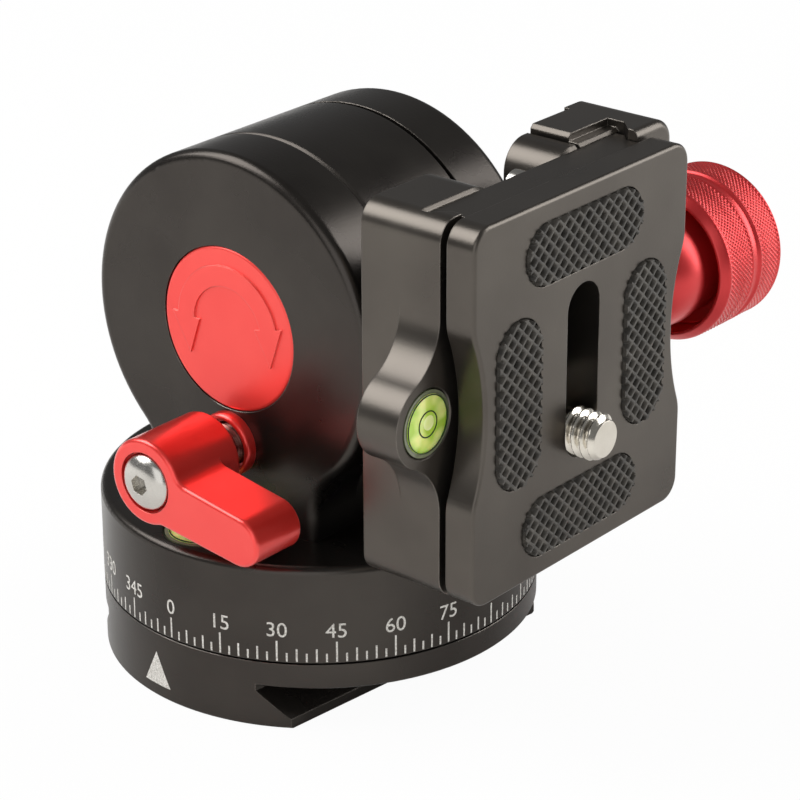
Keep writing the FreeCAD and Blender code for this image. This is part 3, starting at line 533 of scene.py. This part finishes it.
def bright_metal(name, deep, pale, rough, scratch_mm):
    """Bare or plated metal: bright, with fine random scratches and a slightly uneven gloss."""
    def driven(tree):
        place = object_place(tree)
        stretch = add(tree, "Mapping", {"Vector": place, "Scale": (1.0, 1.0, scratch_stretch)})
        scratch = noise(tree, stretch.outputs["Vector"], scratch_mm, 4.0)
        cloud = noise(tree, place, 3, 2.0)
        normal = soft_edge(tree, edge_width_bare).outputs["Normal"]
        return {"Base Color": between(tree, cloud, linear(deep), linear(pale)),
                "Roughness": ranged(tree, scratch, 0.3, 0.7, rough - 0.05, rough + 0.08),
                "Normal": bumped(tree, scratch, 0.15, 0.01, normal)}
    return finish(name, {"Metallic": 1.0}, driven)


def moulded_rubber():
    """Black rubber, moulded: matt charcoal with paler dusty patches and fine pitting."""
    def driven(tree):
        place = object_place(tree)
        pits = noise(tree, place, 0.18, 3.0)
        share = ranged(tree, noise(tree, place, 1.6, 5.0), 0.35, 0.7, 0, 1)
        return {"Base Color": between(tree, share, linear("#34312d"), linear("#4d4943")),
                "Roughness": ranged(tree, pits, 0.3, 0.7, 0.42, 0.6),
                "Normal": bumped(tree, pits, 0.5, 0.02)}
    return finish("rubber_moulded", {"Specular IOR Level": 0.5}, driven)


def turned_nylon():
    """White nylon, turned: milky and faintly waxy, as washers and bushings are."""
    def driven(tree):
        cloud = noise(tree, object_place(tree), 2, 3.0)
        return {"Base Color": between(tree, cloud, linear("#dcd8cc"), linear("#eeebe2")),
                "Roughness": ranged(tree, cloud, 0.3, 0.7, 0.35, 0.5)}
    fixed = {"Subsurface Weight": 0.2, "Subsurface Scale": 0.5 * MM}
    return finish("nylon_turned", fixed, driven)


def clouded(name, deep, pale, size_mm, detail, fixed, low=None, high=None):
    """Material of one tone that drifts between two colours; low and high sharpen the drift."""
    def driven(tree):
        share = noise(tree, object_place(tree), size_mm, detail)
        if low is not None:
            share = ranged(tree, share, low, high, 0, 1)
        return {"Base Color": between(tree, share, linear(deep), linear(pale))}
    return finish(name, fixed, driven)


def level_liquid():
    """Dyed oil in clear acrylic: clouded, glowing yellow-green under a hard gloss."""
    fixed = {"Roughness": 0.08, "IOR": 1.49, "Coat Weight": 1.0, "Coat Roughness": 0.02,
             "Subsurface Weight": 0.35, "Subsurface Scale": 1.0 * MM}
    return clouded("acrylic_with_green_oil", "#b8dc48", "#f6ff96", 2.4, 1.0, fixed, 0.35, 0.65)


def level_cup():
    """Green acrylic, moulded: a glossy grey-green rim round the level."""
    fixed = {"Roughness": 0.15, "IOR": 1.49, "Coat Weight": 0.6, "Coat Roughness": 0.05}
    return clouded("acrylic_moulded_green", "#5b6148", "#7e8468", 1.5, 2.0, fixed)


def level_bubble():
    """Air bubble under acrylic: pale yellow-green with a bright glossy top."""
    fixed = {"Roughness": 0.05, "IOR": 1.49, "Coat Weight": 1.0}
    return clouded("air_bubble", "#e2f47c", "#fbffc4", 1.0, 1.0, fixed)


def laser_mark():
    """Laser-marked anodise: the dye is burnt away to a chalky, speckled pale grey."""
    return clouded("laser_marked_anodise", "#a9a59e", "#e4e2dc", 0.16, 2.0,
                   {"Roughness": 0.7}, 0.35, 0.6)


def printed_ring():
    """Ink printed under acrylic: near-black green line with a dull face; also the dark rim ring of
    a level, which is painted shade at the lens edge.
    """
    return clouded("ink_print_and_painted_edge_shade", "#10240c", "#1d3a14", 0.5, 1.0, {"Roughness": 0.35})


tilt_line = (0, 0, (drum_low.z + drum_high.z) / 2)
knob_line = (0, (knob_low.y + knob_high.y) / 2, (knob_low.z + knob_high.z) / 2)

black = black_blasted()
black_drum = black_turned("black_anodised_turned_drum", "X", tilt_line)
black_base = black_turned("black_anodised_turned_base", "Z", (0, 0, 0))
red = red_blasted()
red_cap = red_turned("red_anodised_turned_cap", "#f43a34", "#fb4840", 0.5, "X", tilt_line)
red_knob = red_turned("red_anodised_turned_knob", "#d02428", "#e03436", 0.7, "X", knob_line)
steel = bright_metal("stainless_steel_machined", "#bdbab4", "#d9d6d0", 0.22, 0.6)
# Reddish brown steel for the lock stud: painted shade and a painted reflection of the red parts
# round it.
stud_painted_shade_red = bright_metal("steel_painted_shade_and_red_reflection", "#7c4e48", "#9a6c64", 0.3, 0.6)
nickel = bright_metal("nickel_plated_steel", "#d2ccc0", "#ebe6dc", 0.16, 0.8)
brass = bright_metal("brass_turned", "#a8884a", "#c9a964", 0.3, 0.5)
rubber = moulded_rubber()
nylon = turned_nylon()
green_oil = level_liquid()
green_cup = level_cup()
bubble_air = level_bubble()
white_mark = laser_mark()
ink_and_edge_shade = printed_ring()

FINISHES = {
    black: ["clamp_body", "moving_jaw", "quick_plate"],
    black_drum: ["yoke", "tilt_barrel"],
    black_base: ["base_plate", "pan_housing"],
    red: ["lock_lever", "lock_collar"],
    red_cap: ["cap_left", "cap_right"],
    steel: ["base_screws", "retainer_screw", "yoke_screws", "tilt_shaft", "shaft_washers",
            "shaft_screws", "clamp_screws", "guide_pins", "clamp_stud", "stud_stop",
            "lever_screw", "pan_lock_stud", "stop_screws", "pan_spindle", "pan_retainer",
            "jaw_springs"],
    stud_painted_shade_red: ["lock_stud"],
    nickel: ["camera_screw"],
    brass: ["thread_reducer", "tilt_bushings"],
    nylon: ["thrust_washer", "upper_washer", "friction_washers", "screw_washer",
            "pan_bushing", "pan_lock_tip", "brake_pad", "knob_washer"],
    rubber: ["pad_upper", "pad_lower", "pad_left", "pad_right"],
    green_cup: ["pan_vial_cup", "clamp_vial_cup"],
    green_oil: ["pan_vial_lens", "clamp_vial_lens"],
    red_knob: ["clamp_knob", "pan_lock_knob"],
}


def dress_frame():
    """Gives every node of the frame its finish."""
    for material, names in FINISHES.items():
        for name in names:
            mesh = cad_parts[name].data
            mesh.materials.clear()
            mesh.materials.append(material)
            mesh.shade_smooth()
            mesh.set_sharp_from_angle(angle=math.radians(25))


# Dial

def tick_height(value):
    """Height of the mark at a value of the dial, by the largest step that it falls on."""
    steps = sorted(tick_heights, reverse=True)
    return next(tick_heights[step] for step in steps if value % step == 0)


def wrapped_strip(points, spot):
    """Inner and outer outline of a thin mark bent round the dial, from (angle, height) points."""
    inner = [spot(z, scale_radius - tick_sink, a) for a, z in points]
    outer = [spot(z, scale_radius + tick_rise, a) for a, z in points]
    return inner, outer


def dial_marks():
    """Marks round the turning dial, one every two and a half degrees."""
    spot = polar("Z", (0, 0, 0))
    bottom = housing_low.z + tick_foot
    half = tick_width / 2 / scale_radius
    points, faces = [], []
    for i in range(round(360 / tick_step)):
        value = i * tick_step
        angle = math.radians(dial_zero + value)
        top = bottom + tick_height(value)
        corners = [(angle - half, bottom), (angle + half, bottom),
                   (angle + half, top), (angle - half, top)]
        inner, outer = wrapped_strip(corners, spot)
        start = len(points)
        points += inner + outer
        faces += [tuple(start + k for k in face) for face in
                  ((0, 1, 2, 3), (4, 5, 6, 7), (0, 1, 5, 4),
                   (1, 2, 6, 5), (2, 3, 7, 6), (3, 0, 4, 7))]
    mesh = mesh_of("dial_marks", points, faces)
    return piece(new_object("dial_marks", mesh, white_mark), "pan")


def number_mesh(text):
    """Flat number as a thick mesh, centred on its width, one unit high."""
    curve = bpy.data.curves.new("number", "FONT")
    curve.body = text
    curve.align_x = "CENTER"
    curve.extrude = number_thickness
    holder = bpy.data.objects.new("number", curve)
    bpy.context.scene.collection.objects.link(holder)
    bpy.context.view_layer.update()
    mesh = mesh_from(holder)
    bpy.data.objects.remove(holder)
    return mesh


def dial_numbers():
    """Numbers round the turning dial, one every fifteen degrees."""
    spot = polar("Z", (0, 0, 0))
    points, faces = [], []
    for value in range(0, 360, number_step):
        mesh = number_mesh(str(value))
        tall = max(v.co.y for v in mesh.vertices)
        start = len(points)
        middle = math.radians(dial_zero + value)
        for v in mesh.vertices:
            across = v.co.x / tall * number_height
            radius = scale_radius + (tick_rise if v.co.z > 0 else -tick_sink)
            height = housing_low.z + number_base + v.co.y / tall * number_height
            points.append(spot(height, radius, middle + across / scale_radius))
        faces += [tuple(start + k for k in face.vertices) for face in mesh.polygons]
        bpy.data.meshes.remove(mesh)
    mesh = mesh_of("dial_numbers", points, faces)
    return piece(new_object("dial_numbers", mesh, white_mark), "pan")


def index_mark():
    """Filled triangle on the fixed base that the dial is read against."""
    spot = polar("Z", (0, 0, 0))
    rings = []
    for i in range(index_rows + 1):
        share = i / index_rows
        height = index_low + (index_high - index_low) * share
        half = max(index_half_width * (1 - share), index_tip_half_width) / scale_radius
        across = [math.radians(index_angle) - half + 2 * half * k / index_columns
                  for k in range(index_columns + 1)]
        inner, outer = wrapped_strip([(a, height) for a in across], spot)
        rings.append(outer + inner[::-1])
    mesh = skin("index_mark", rings, False)
    return piece(new_object("index_mark", mesh, white_mark), "base")


# Clamp knob

def knurl(spacing, depth, radius):
    """Diamond knurl: a change of radius at a place along and an angle round a bar."""
    around = round(TURN * radius / spacing)

    def field(along, angle):
        turn = angle / TURN * around
        climb = along / spacing
        return -depth * max(saw(turn + climb), saw(turn - climb))
    return field


def knob_outline():
    """Outline of the clamp knob from its bore, over the hub and the rim, to its outer end."""
    rim = (knob_high.z - knob_low.z) / 2
    start, end = knob_low.x, knob_high.x
    face = knob_high.x - knob_length
    hub_x = face + knob_hub_front
    recess_end = face + knob_recess_depth
    groove0 = face + knob_groove_at - knob_groove_width / 2
    groove1 = groove0 + knob_groove_width
    band = rim - knob_groove_depth
    dome = []
    for step in range(knob_hub_steps + 1):
        turn = math.radians(90 * step / knob_hub_steps)
        dome.append((hub_x - knob_hub_length * math.cos(turn),
                     knob_hub_neck + (knob_hub_radius - knob_hub_neck) * math.sin(turn), 0))
    points = [
        (start, knob_bore, 0),
        (start, knob_hub_neck, corner_small),
        *dome,
        (hub_x + knob_hub_shoulder, knob_hub_radius, corner_fine),
        (hub_x + knob_hub_step, knob_hub_radius - knob_hub_step_depth, corner_sharp),
        (recess_end, knob_hub_radius - knob_hub_foot, corner_recess),
        (recess_end, knob_recess_radius, corner_recess),
        (face, knob_recess_radius, corner_soft),
        (face, rim - knob_rim_round, corner_rim_inner),
        (face + knob_rim_round, rim, corner_rim_outer),
        (groove0, rim, corner_groove),
        (groove0 + knob_groove_depth, band, corner_soft),
        (groove1 - knob_groove_depth, band, corner_soft),
        (groove1, rim, corner_groove),
        (end - knob_edge, rim, corner_small),
        (end, rim - knob_edge, corner_small),
        (end, knob_end_recess, corner_small),
        (end - knob_end_depth, knob_end_recess, corner_fine),
        (end - knob_end_depth, knob_bore, 0)]
    return rounded(points), rim, face, (groove0, groove1)


def clamp_knob():
    """Turned knob with a diamond knurl on both bands and a domed hub."""
    outline, rim, face, groove = knob_outline()
    outline = finely(outline, knurl_pitch / knurl_points,
                     lambda a, b: min(a.y, b.y) > rim - rim_tolerance)
    cross = knurl(knurl_pitch, knurl_depth, rim)
    bands = [(face + knob_rim_round, groove[0]), (groove[1], knob_high.x - knob_edge)]

    def field(along, radius, angle):
        for low, high in bands:
            share = min(1, (along - low) / knurl_margin, (high - along) / knurl_margin)
            if radius > rim - rim_tolerance and share > 0:
                return share * cross(along, angle)
        return 0
    count = knurl_points * round(TURN * rim / knurl_pitch)
    mesh = turned("clamp_knob_knurled", outline, polar("X", knob_line), count, True, field)
    made = new_object("clamp_knob_knurled", mesh, red_knob, 50)
    return piece(made, "knob", ["clamp_knob"])


# Rubber pads

def lattice(x, z):
    """Height of the crossed ridges at a place on a pad, from 0 in a pit to 1 on a ridge."""
    across, up = x / pad_cell_x, z / pad_cell_z
    nearest = max(1 - saw(across + up), 1 - saw(across - up))
    share = (nearest - (1 - pad_ridge)) / (pad_ridge * 0.5)
    return max(0.0, min(1.0, share))


def rubber_pad(name):
    """Round-ended pad with a raised lattice of crossed ridges."""
    low, high = box_mm(name)
    middle = (low + high) / 2
    size_x, size_z = high.x - low.x, high.z - low.z
    upright = size_z > size_x
    long, short = max(size_x, size_z), min(size_x, size_z)
    columns = round(long / pad_point_step)
    rows = round(short / pad_point_step)
    front, back = low.y, high.y
    floor_y = front + pad_lattice_rise

    def at(i, k):
        along = (i / columns - 0.5) * long
        reach = max(abs(along) - (long - short) / 2, 0)
        half = math.sqrt(max((short / 2) ** 2 - reach ** 2, pad_end_half_squared))
        across = (k / rows * 2 - 1) * half
        return (across, along) if upright else (along, across)

    points, faces = [], []
    for i in range(columns + 1):
        for k in range(rows + 1):
            x, z = at(i, k)
            inner = min(k, rows - k, i, columns - i) > 0
            y = floor_y - pad_lattice_rise * lattice(x, z) if inner else floor_y
            points.append((middle.x + x, y, middle.z + z))
    wide = rows + 1
    for i in range(columns):
        here, after = i * wide, (i + 1) * wide
        faces += [(here + k, here + k + 1, after + k + 1, after + k) for k in range(rows)]
    border = [*range(wide), *(i * wide + rows for i in range(1, columns + 1)),
              *(columns * wide + k for k in range(rows - 1, -1, -1)),
              *(i * wide for i in range(columns - 1, 0, -1))]
    base = len(points)
    points += [(points[k][0], back, points[k][2]) for k in border]
    count = len(border)
    faces += [(border[k], border[(k + 1) % count], base + (k + 1) % count, base + k)
              for k in range(count)]
    faces.append(tuple(range(base, base + count)))
    made = new_object(name + "_ribbed", mesh_of(name + "_ribbed", points, faces), rubber, 60)
    return piece(made, "plate", [name])


# Screws and springs

def thread(pitch, depth, end, chamfer):
    """Helical thread: a change of radius along a bar whose free end has a chamfer."""
    def field(along, radius, angle):
        wave = saw(along / pitch - angle / TURN)
        crest = min(1.0, max(0.0, wave * thread_flank_gain - thread_flank_offset))
        cut_back = max(0.0, chamfer - abs(along - end))
        return -max(depth * crest, cut_back)
    return field


def straight(start, end, radius, step):
    """Straight line of outline points at one radius, no further apart than a step."""
    count = math.ceil((end - start) / step)
    return [Vector((start + (end - start) * i / count, radius)) for i in range(count + 1)]


def camera_screw():
    """Camera screw with its thread, neck and slotted head."""
    end, back = screw_low.y, screw_high.y
    radius = camera_screw_radius
    thread_end = plate_front + camera_thread_reach
    neck, head = camera_screw_neck, (screw_high.x - screw_low.x) / 2
    head_front = back - camera_screw_head
    outline = straight(end, thread_end, radius, camera_pitch / camera_pitch_steps)
    outline += [Vector(p) for p in (
        (thread_end + camera_neck_step, neck), (head_front, neck),
        (head_front, head - camera_head_front_edge), (head_front + camera_head_front_edge, head),
        (back - camera_head_back_edge, head), (back, head - camera_head_back_edge))]
    screw_z = (screw_low.z + screw_high.z) / 2
    helix = thread(camera_pitch, camera_thread_depth, end, camera_screw_tip)

    def field(along, at_radius, angle):
        return helix(along, at_radius, angle) if along <= thread_end else 0
    mesh = turned("camera_screw_threaded", outline, polar("Y", (0, 0, screw_z)),
                  camera_screw_sides, False, field)
    floor_y, open_y, half = back - camera_slot_depth, back + cutter_margin, camera_slot_half
    corners = ((floor_y, -half), (open_y, -half), (open_y, half), (floor_y, half))
    slot = [[(x, y, screw_z + z) for y, z in corners]
            for x in (-head - cutter_margin, head + cutter_margin)]
    mesh = carved(mesh, [skin("slot", slot, False)])
    made = new_object("camera_screw_threaded", mesh, nickel)
    return piece(made, "camera_screw", ["camera_screw"])


def lock_stud():
    """Threaded stud between the lever and the collar."""
    low, high = box_mm("lock_stud")
    middle = (low + high) / 2
    outline = straight(low.x, high.x, (high.z - low.z) / 2, lock_pitch / lock_pitch_steps)
    helix = thread(lock_pitch, lock_thread_depth, high.x, lock_tip)
    mesh = turned("lock_stud_threaded", outline, polar("X", (0, middle.y, middle.z)),
                  small_part_sides, False, helix)
    # Its colour is painted shade and painted red reflection.
    made = new_object("lock_stud_threaded", mesh, stud_painted_shade_red)
    return piece(made, "lever", ["lock_stud"])


def button_screw():
    """Button-head screw of the lever, with a domed head and a hexagon socket."""
    low, high = box_mm("lever_screw")
    middle = (low + high) / 2
    seat = low.x + button_height
    crown = button_height - button_shoulder
    dome = [Vector((seat - button_shoulder - crown * math.sin(turn),
                    max(button_radius * math.cos(turn) ** button_dome_power, axis_radius)))
            for turn in (math.radians(90 * step / button_dome_steps)
                         for step in range(button_dome_steps + 1))]
    outline = [Vector((high.x, button_shank)), Vector((seat, button_shank)),
               Vector((seat, button_radius - button_edge)),
               Vector((seat - button_edge, button_radius))] + dome
    spot = polar("X", (0, middle.y, middle.z))
    mesh = turned("button_screw", outline, spot, small_part_sides, False)
    corners = [math.radians(60 * k + socket_turn) for k in range(6)]
    hexagon = [[(x, middle.y + socket_radius * math.cos(a), middle.z + socket_radius * math.sin(a))
                for a in corners] for x in (low.x - cutter_margin, low.x + socket_depth)]
    mesh = carved(mesh, [skin("socket", hexagon, False)])
    made = new_object("button_screw", mesh, steel, 30)
    return piece(made, "lever", ["lever_screw"])


def grip_knob():
    """Panning lock knob with a straight knurl round it."""
    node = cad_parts["pan_lock_knob"]
    angle = math.radians(grip_angle)
    way = Vector((math.cos(angle), math.sin(angle), 0))
    spots = [node.matrix_world @ v.co / MM for v in node.data.vertices]
    reach = [p.dot(way) for p in spots]
    start, end = min(reach), max(reach)
    height = (max(p.z for p in spots) + min(p.z for p in spots)) / 2
    radius = max(p.z for p in spots) - height
    side = Vector((-way.y, way.x, 0))

    def spot(along, at_radius, turn):
        out = side * math.cos(turn) + Z_WAY * math.sin(turn)
        return way * along + at_radius * out + Z_WAY * height
    bore_end = start + (end - start) / 2
    corners = [(start, grip_bore, 0), (start, radius - grip_inner_edge, corner_small),
               (start + grip_inner_edge, radius, corner_small),
               (end - grip_outer_edge, radius, corner_small),
               (end, radius - grip_outer_edge, corner_small), (end, axis_radius, 0),
               (bore_end, axis_radius, 0), (bore_end, grip_bore, 0)]
    outline = finely(rounded(corners), grip_point_step,
                     lambda a, b: min(a.y, b.y) > radius - rim_tolerance)

    def field(along, at_radius, turn):
        share = min(1, (along - start - grip_inner_edge) / grip_margin,
                    (end - grip_outer_edge - along) / grip_margin)
        if at_radius < radius - rim_tolerance or share <= 0:
            return 0
        return -grip_depth * share * saw(turn / TURN * grip_teeth)
    mesh = turned("grip_knob", outline, spot, grip_points * grip_teeth, True, field)
    made = new_object("grip_knob", mesh, red_knob, 50)
    return piece(made, "pan_lock", ["pan_lock_knob"])


def reducer():
    """Threaded brass reducer in the tripod thread."""
    low, high = box_mm("thread_reducer")
    outer = (high.x - low.x) / 2
    inner = straight(low.z, high.z, camera_screw_radius, reducer_pitch / reducer_pitch_steps)
    outline = inner + [Vector((high.z, outer)), Vector((low.z, outer))]
    helix = thread(reducer_pitch, camera_thread_depth, high.z, 0)

    def field(along, at_radius, angle):
        return helix(along, at_radius, angle) if at_radius < outer else 0
    mesh = turned("reducer_threaded", outline, polar("Z", (0, 0, 0)), small_part_sides, True,
                  field)
    made = new_object("reducer_threaded", mesh, brass)
    return piece(made, "base", ["thread_reducer"])


def jaw_springs():
    """Wire springs round the guide pins."""
    low, high = box_mm("jaw_springs")
    wire, turns = spring_wire, spring_turns
    coil = (high.y - low.y) / 2 - wire / 2
    for name, z in (("jaw_spring_lower", low.z + coil + wire / 2),
                    ("jaw_spring_upper", high.z - coil - wire / 2)):
        spot = polar("X", (0, (low.y + high.y) / 2, z))
        curve = bpy.data.curves.new(name, "CURVE")
        curve.dimensions = "3D"
        curve.bevel_depth = wire / 2 * MM
        curve.bevel_resolution = 3
        curve.use_fill_caps = True
        line = curve.splines.new("POLY")
        count = turns * spring_points
        line.points.add(count)
        for i, point in enumerate(line.points):
            share = i / count
            along = low.x + wire / 2 + (high.x - low.x - wire) * share
            point.co = (*(spot(along, coil, TURN * turns * share) * MM), 1)
        curve.materials.append(steel)
        made = bpy.data.objects.new(name, curve)
        bpy.context.scene.collection.objects.link(made)
        piece(made, "tilt", ["jaw_springs"])


# Round levels

def level(name, node, body, axis, outward):
    """Domed lens with its printed circle, a dark rim ring of painted shade, and the bubble under
    it.
    """
    low, high = box_mm(node)
    middle = (low + high) / 2
    radius = (high.x - low.x) / 2
    if axis == "Z":
        bottom, top, centre = low.z, high.z, (middle.x, middle.y, 0)
    else:
        bottom, top, centre = high.y, low.y, (middle.x, 0, middle.z)
    spot = polar(axis, centre)
    dome = [(top - outward * (level_dome_rise * (s / level_steps) ** 2 + level_dome_sink),
             max(radius * s / level_steps, axis_radius)) for s in range(level_steps + 1)]
    ends = [(bottom, axis_radius), (bottom, radius - level_edge)]
    outline = [Vector(p) for p in ends + dome[::-1]]
    mesh = turned(name + "_lens", outline, spot, level_sides, False)
    piece(new_object(name + "_lens", mesh, green_oil, 60), body, [node])
    foot = top - outward * level_ring_depth
    # The rim ring is painted shade at the lens edge; the circle is print.
    for part, inner, outer in level_rings:
        ring = [Vector((foot, radius * inner)), Vector((top, radius * inner)),
                Vector((top, radius * outer)), Vector((foot, radius * outer))]
        mesh = turned(name + "_" + part, ring, spot, level_sides, True)
        piece(new_object(name + "_" + part, mesh, ink_and_edge_shade), body)
    shift = bubble_shift * radius
    bubble_spot = polar(axis, (centre[0] + shift, centre[1],
                               centre[2] + (0 if axis == "Z" else shift)))
    cap = []
    for s in range(level_steps + 1):
        turn = math.radians(90 * s / level_steps)
        cap.append(Vector((top - outward * (bubble_top + bubble_rise * (1 - math.cos(turn))),
                           max(radius * bubble_share * math.sin(turn), axis_radius))))
    cap.append(Vector((top - outward * bubble_foot, radius * bubble_foot_share)))
    mesh = turned(name + "_bubble", cap, bubble_spot, bubble_sides, False)
    piece(new_object(name + "_bubble", mesh, bubble_air, 60), body)


# Stage

def floor():
    """Pale sweep under the object that is white to the camera and still takes its shadow."""
    paper = clouded("paper_sweep", "#efeeec", "#f4f3f1", floor_cloud_size, 1.0,
                    {"Roughness": 0.9, "Specular IOR Level": 0.2})
    tree = paper.node_tree
    shader = next(n for n in tree.nodes if n.type == "BSDF_PRINCIPLED")
    output = next(n for n in tree.nodes if n.type == "OUTPUT_MATERIAL")
    path = add(tree, "LightPath")
    glow = add(tree, "Emission", {"Color": linear("#ffffff"), "Strength": 1.0})
    share = add(tree, "Math", {0: path.outputs["Is Camera Ray"], 1: floor_glow_share},
                operation="MULTIPLY")
    mix = add(tree, "MixShader", {0: share.outputs["Value"], 1: shader.outputs["BSDF"],
                                  2: glow.outputs["Emission"]})
    tree.links.new(mix.outputs["Shader"], output.inputs["Surface"])
    half = floor_half
    points = [(-half, -half, 0), (half, -half, 0), (half, half, 0), (-half, half, 0)]
    made = new_object("floor", mesh_of("floor", points, [(0, 1, 2, 3)]), paper)


def lamp(name, at, size, power):
    """Rectangular soft light that faces the object."""
    light = bpy.data.lights.new(name, "AREA")
    light.shape = "RECTANGLE"
    light.size, light.size_y = size[0] * MM, size[1] * MM
    light.energy = power
    made = bpy.data.objects.new(name, light)
    bpy.context.scene.collection.objects.link(made)
    made.location = Vector(at) * MM
    look = Vector(lamp_aim) - Vector(at)
    made.rotation_euler = look.to_track_quat("-Z", "Y").to_euler()


def backdrop():
    """World that is white where it is seen, lights softly and is mirrored as a dim studio."""
    world = bpy.data.worlds.new("studio")
    bpy.context.scene.world = world
    world.use_nodes = True
    tree = world.node_tree
    tree.nodes.clear()
    path = add(tree, "LightPath")
    seen = add(tree, "Math", {0: path.outputs["Is Camera Ray"],
                              1: path.outputs["Is Transmission Ray"]}, operation="MAXIMUM")
    full = ranged(tree, seen.outputs["Value"], 0, 1, world_light, world_seen)
    dim = add(tree, "Math", {0: path.outputs["Is Glossy Ray"], 1: world_mirror_loss},
              operation="MULTIPLY")
    strength = add(tree, "Math", {0: full, 1: dim.outputs["Value"]}, operation="SUBTRACT")
    ground = add(tree, "Background", {"Color": linear("#ffffff"),
                                      "Strength": strength.outputs["Value"]})
    add(tree, "OutputWorld", {"Surface": ground.outputs["Background"]})


def camera():
    """Camera at the photograph's place."""
    view = bpy.data.cameras.new("camera")
    view.lens = camera_lens
    view.sensor_width = camera_sensor
    view.clip_start, view.clip_end = camera_near, camera_far
    made = bpy.data.objects.new("camera", view)
    bpy.context.scene.collection.objects.link(made)
    made.location = Vector(camera_at) * MM
    look = (Vector(camera_aim) - Vector(camera_at)).to_track_quat("-Z", "Y")
    made.rotation_mode = "QUATERNION"
    made.rotation_quaternion = look @ Quaternion((0, 0, 1), math.radians(camera_roll))
    bpy.context.scene.camera = made


dress_frame()
dial_marks()
dial_numbers()
index_mark()
clamp_knob()
for pad in ("pad_upper", "pad_lower", "pad_left", "pad_right"):
    rubber_pad(pad)
camera_screw()
lock_stud()
button_screw()
grip_knob()
reducer()
jaw_springs()
level("pan_level", "pan_vial_lens", "pan", "Z", 1)
level("clamp_level", "clamp_vial_lens", "tilt", "Y", -1)
floor()
backdrop()
for name, at, size, power in LAMPS:
    lamp(name, at, size, power)
camera()
bpy.context.scene.view_settings.view_transform = "Standard"
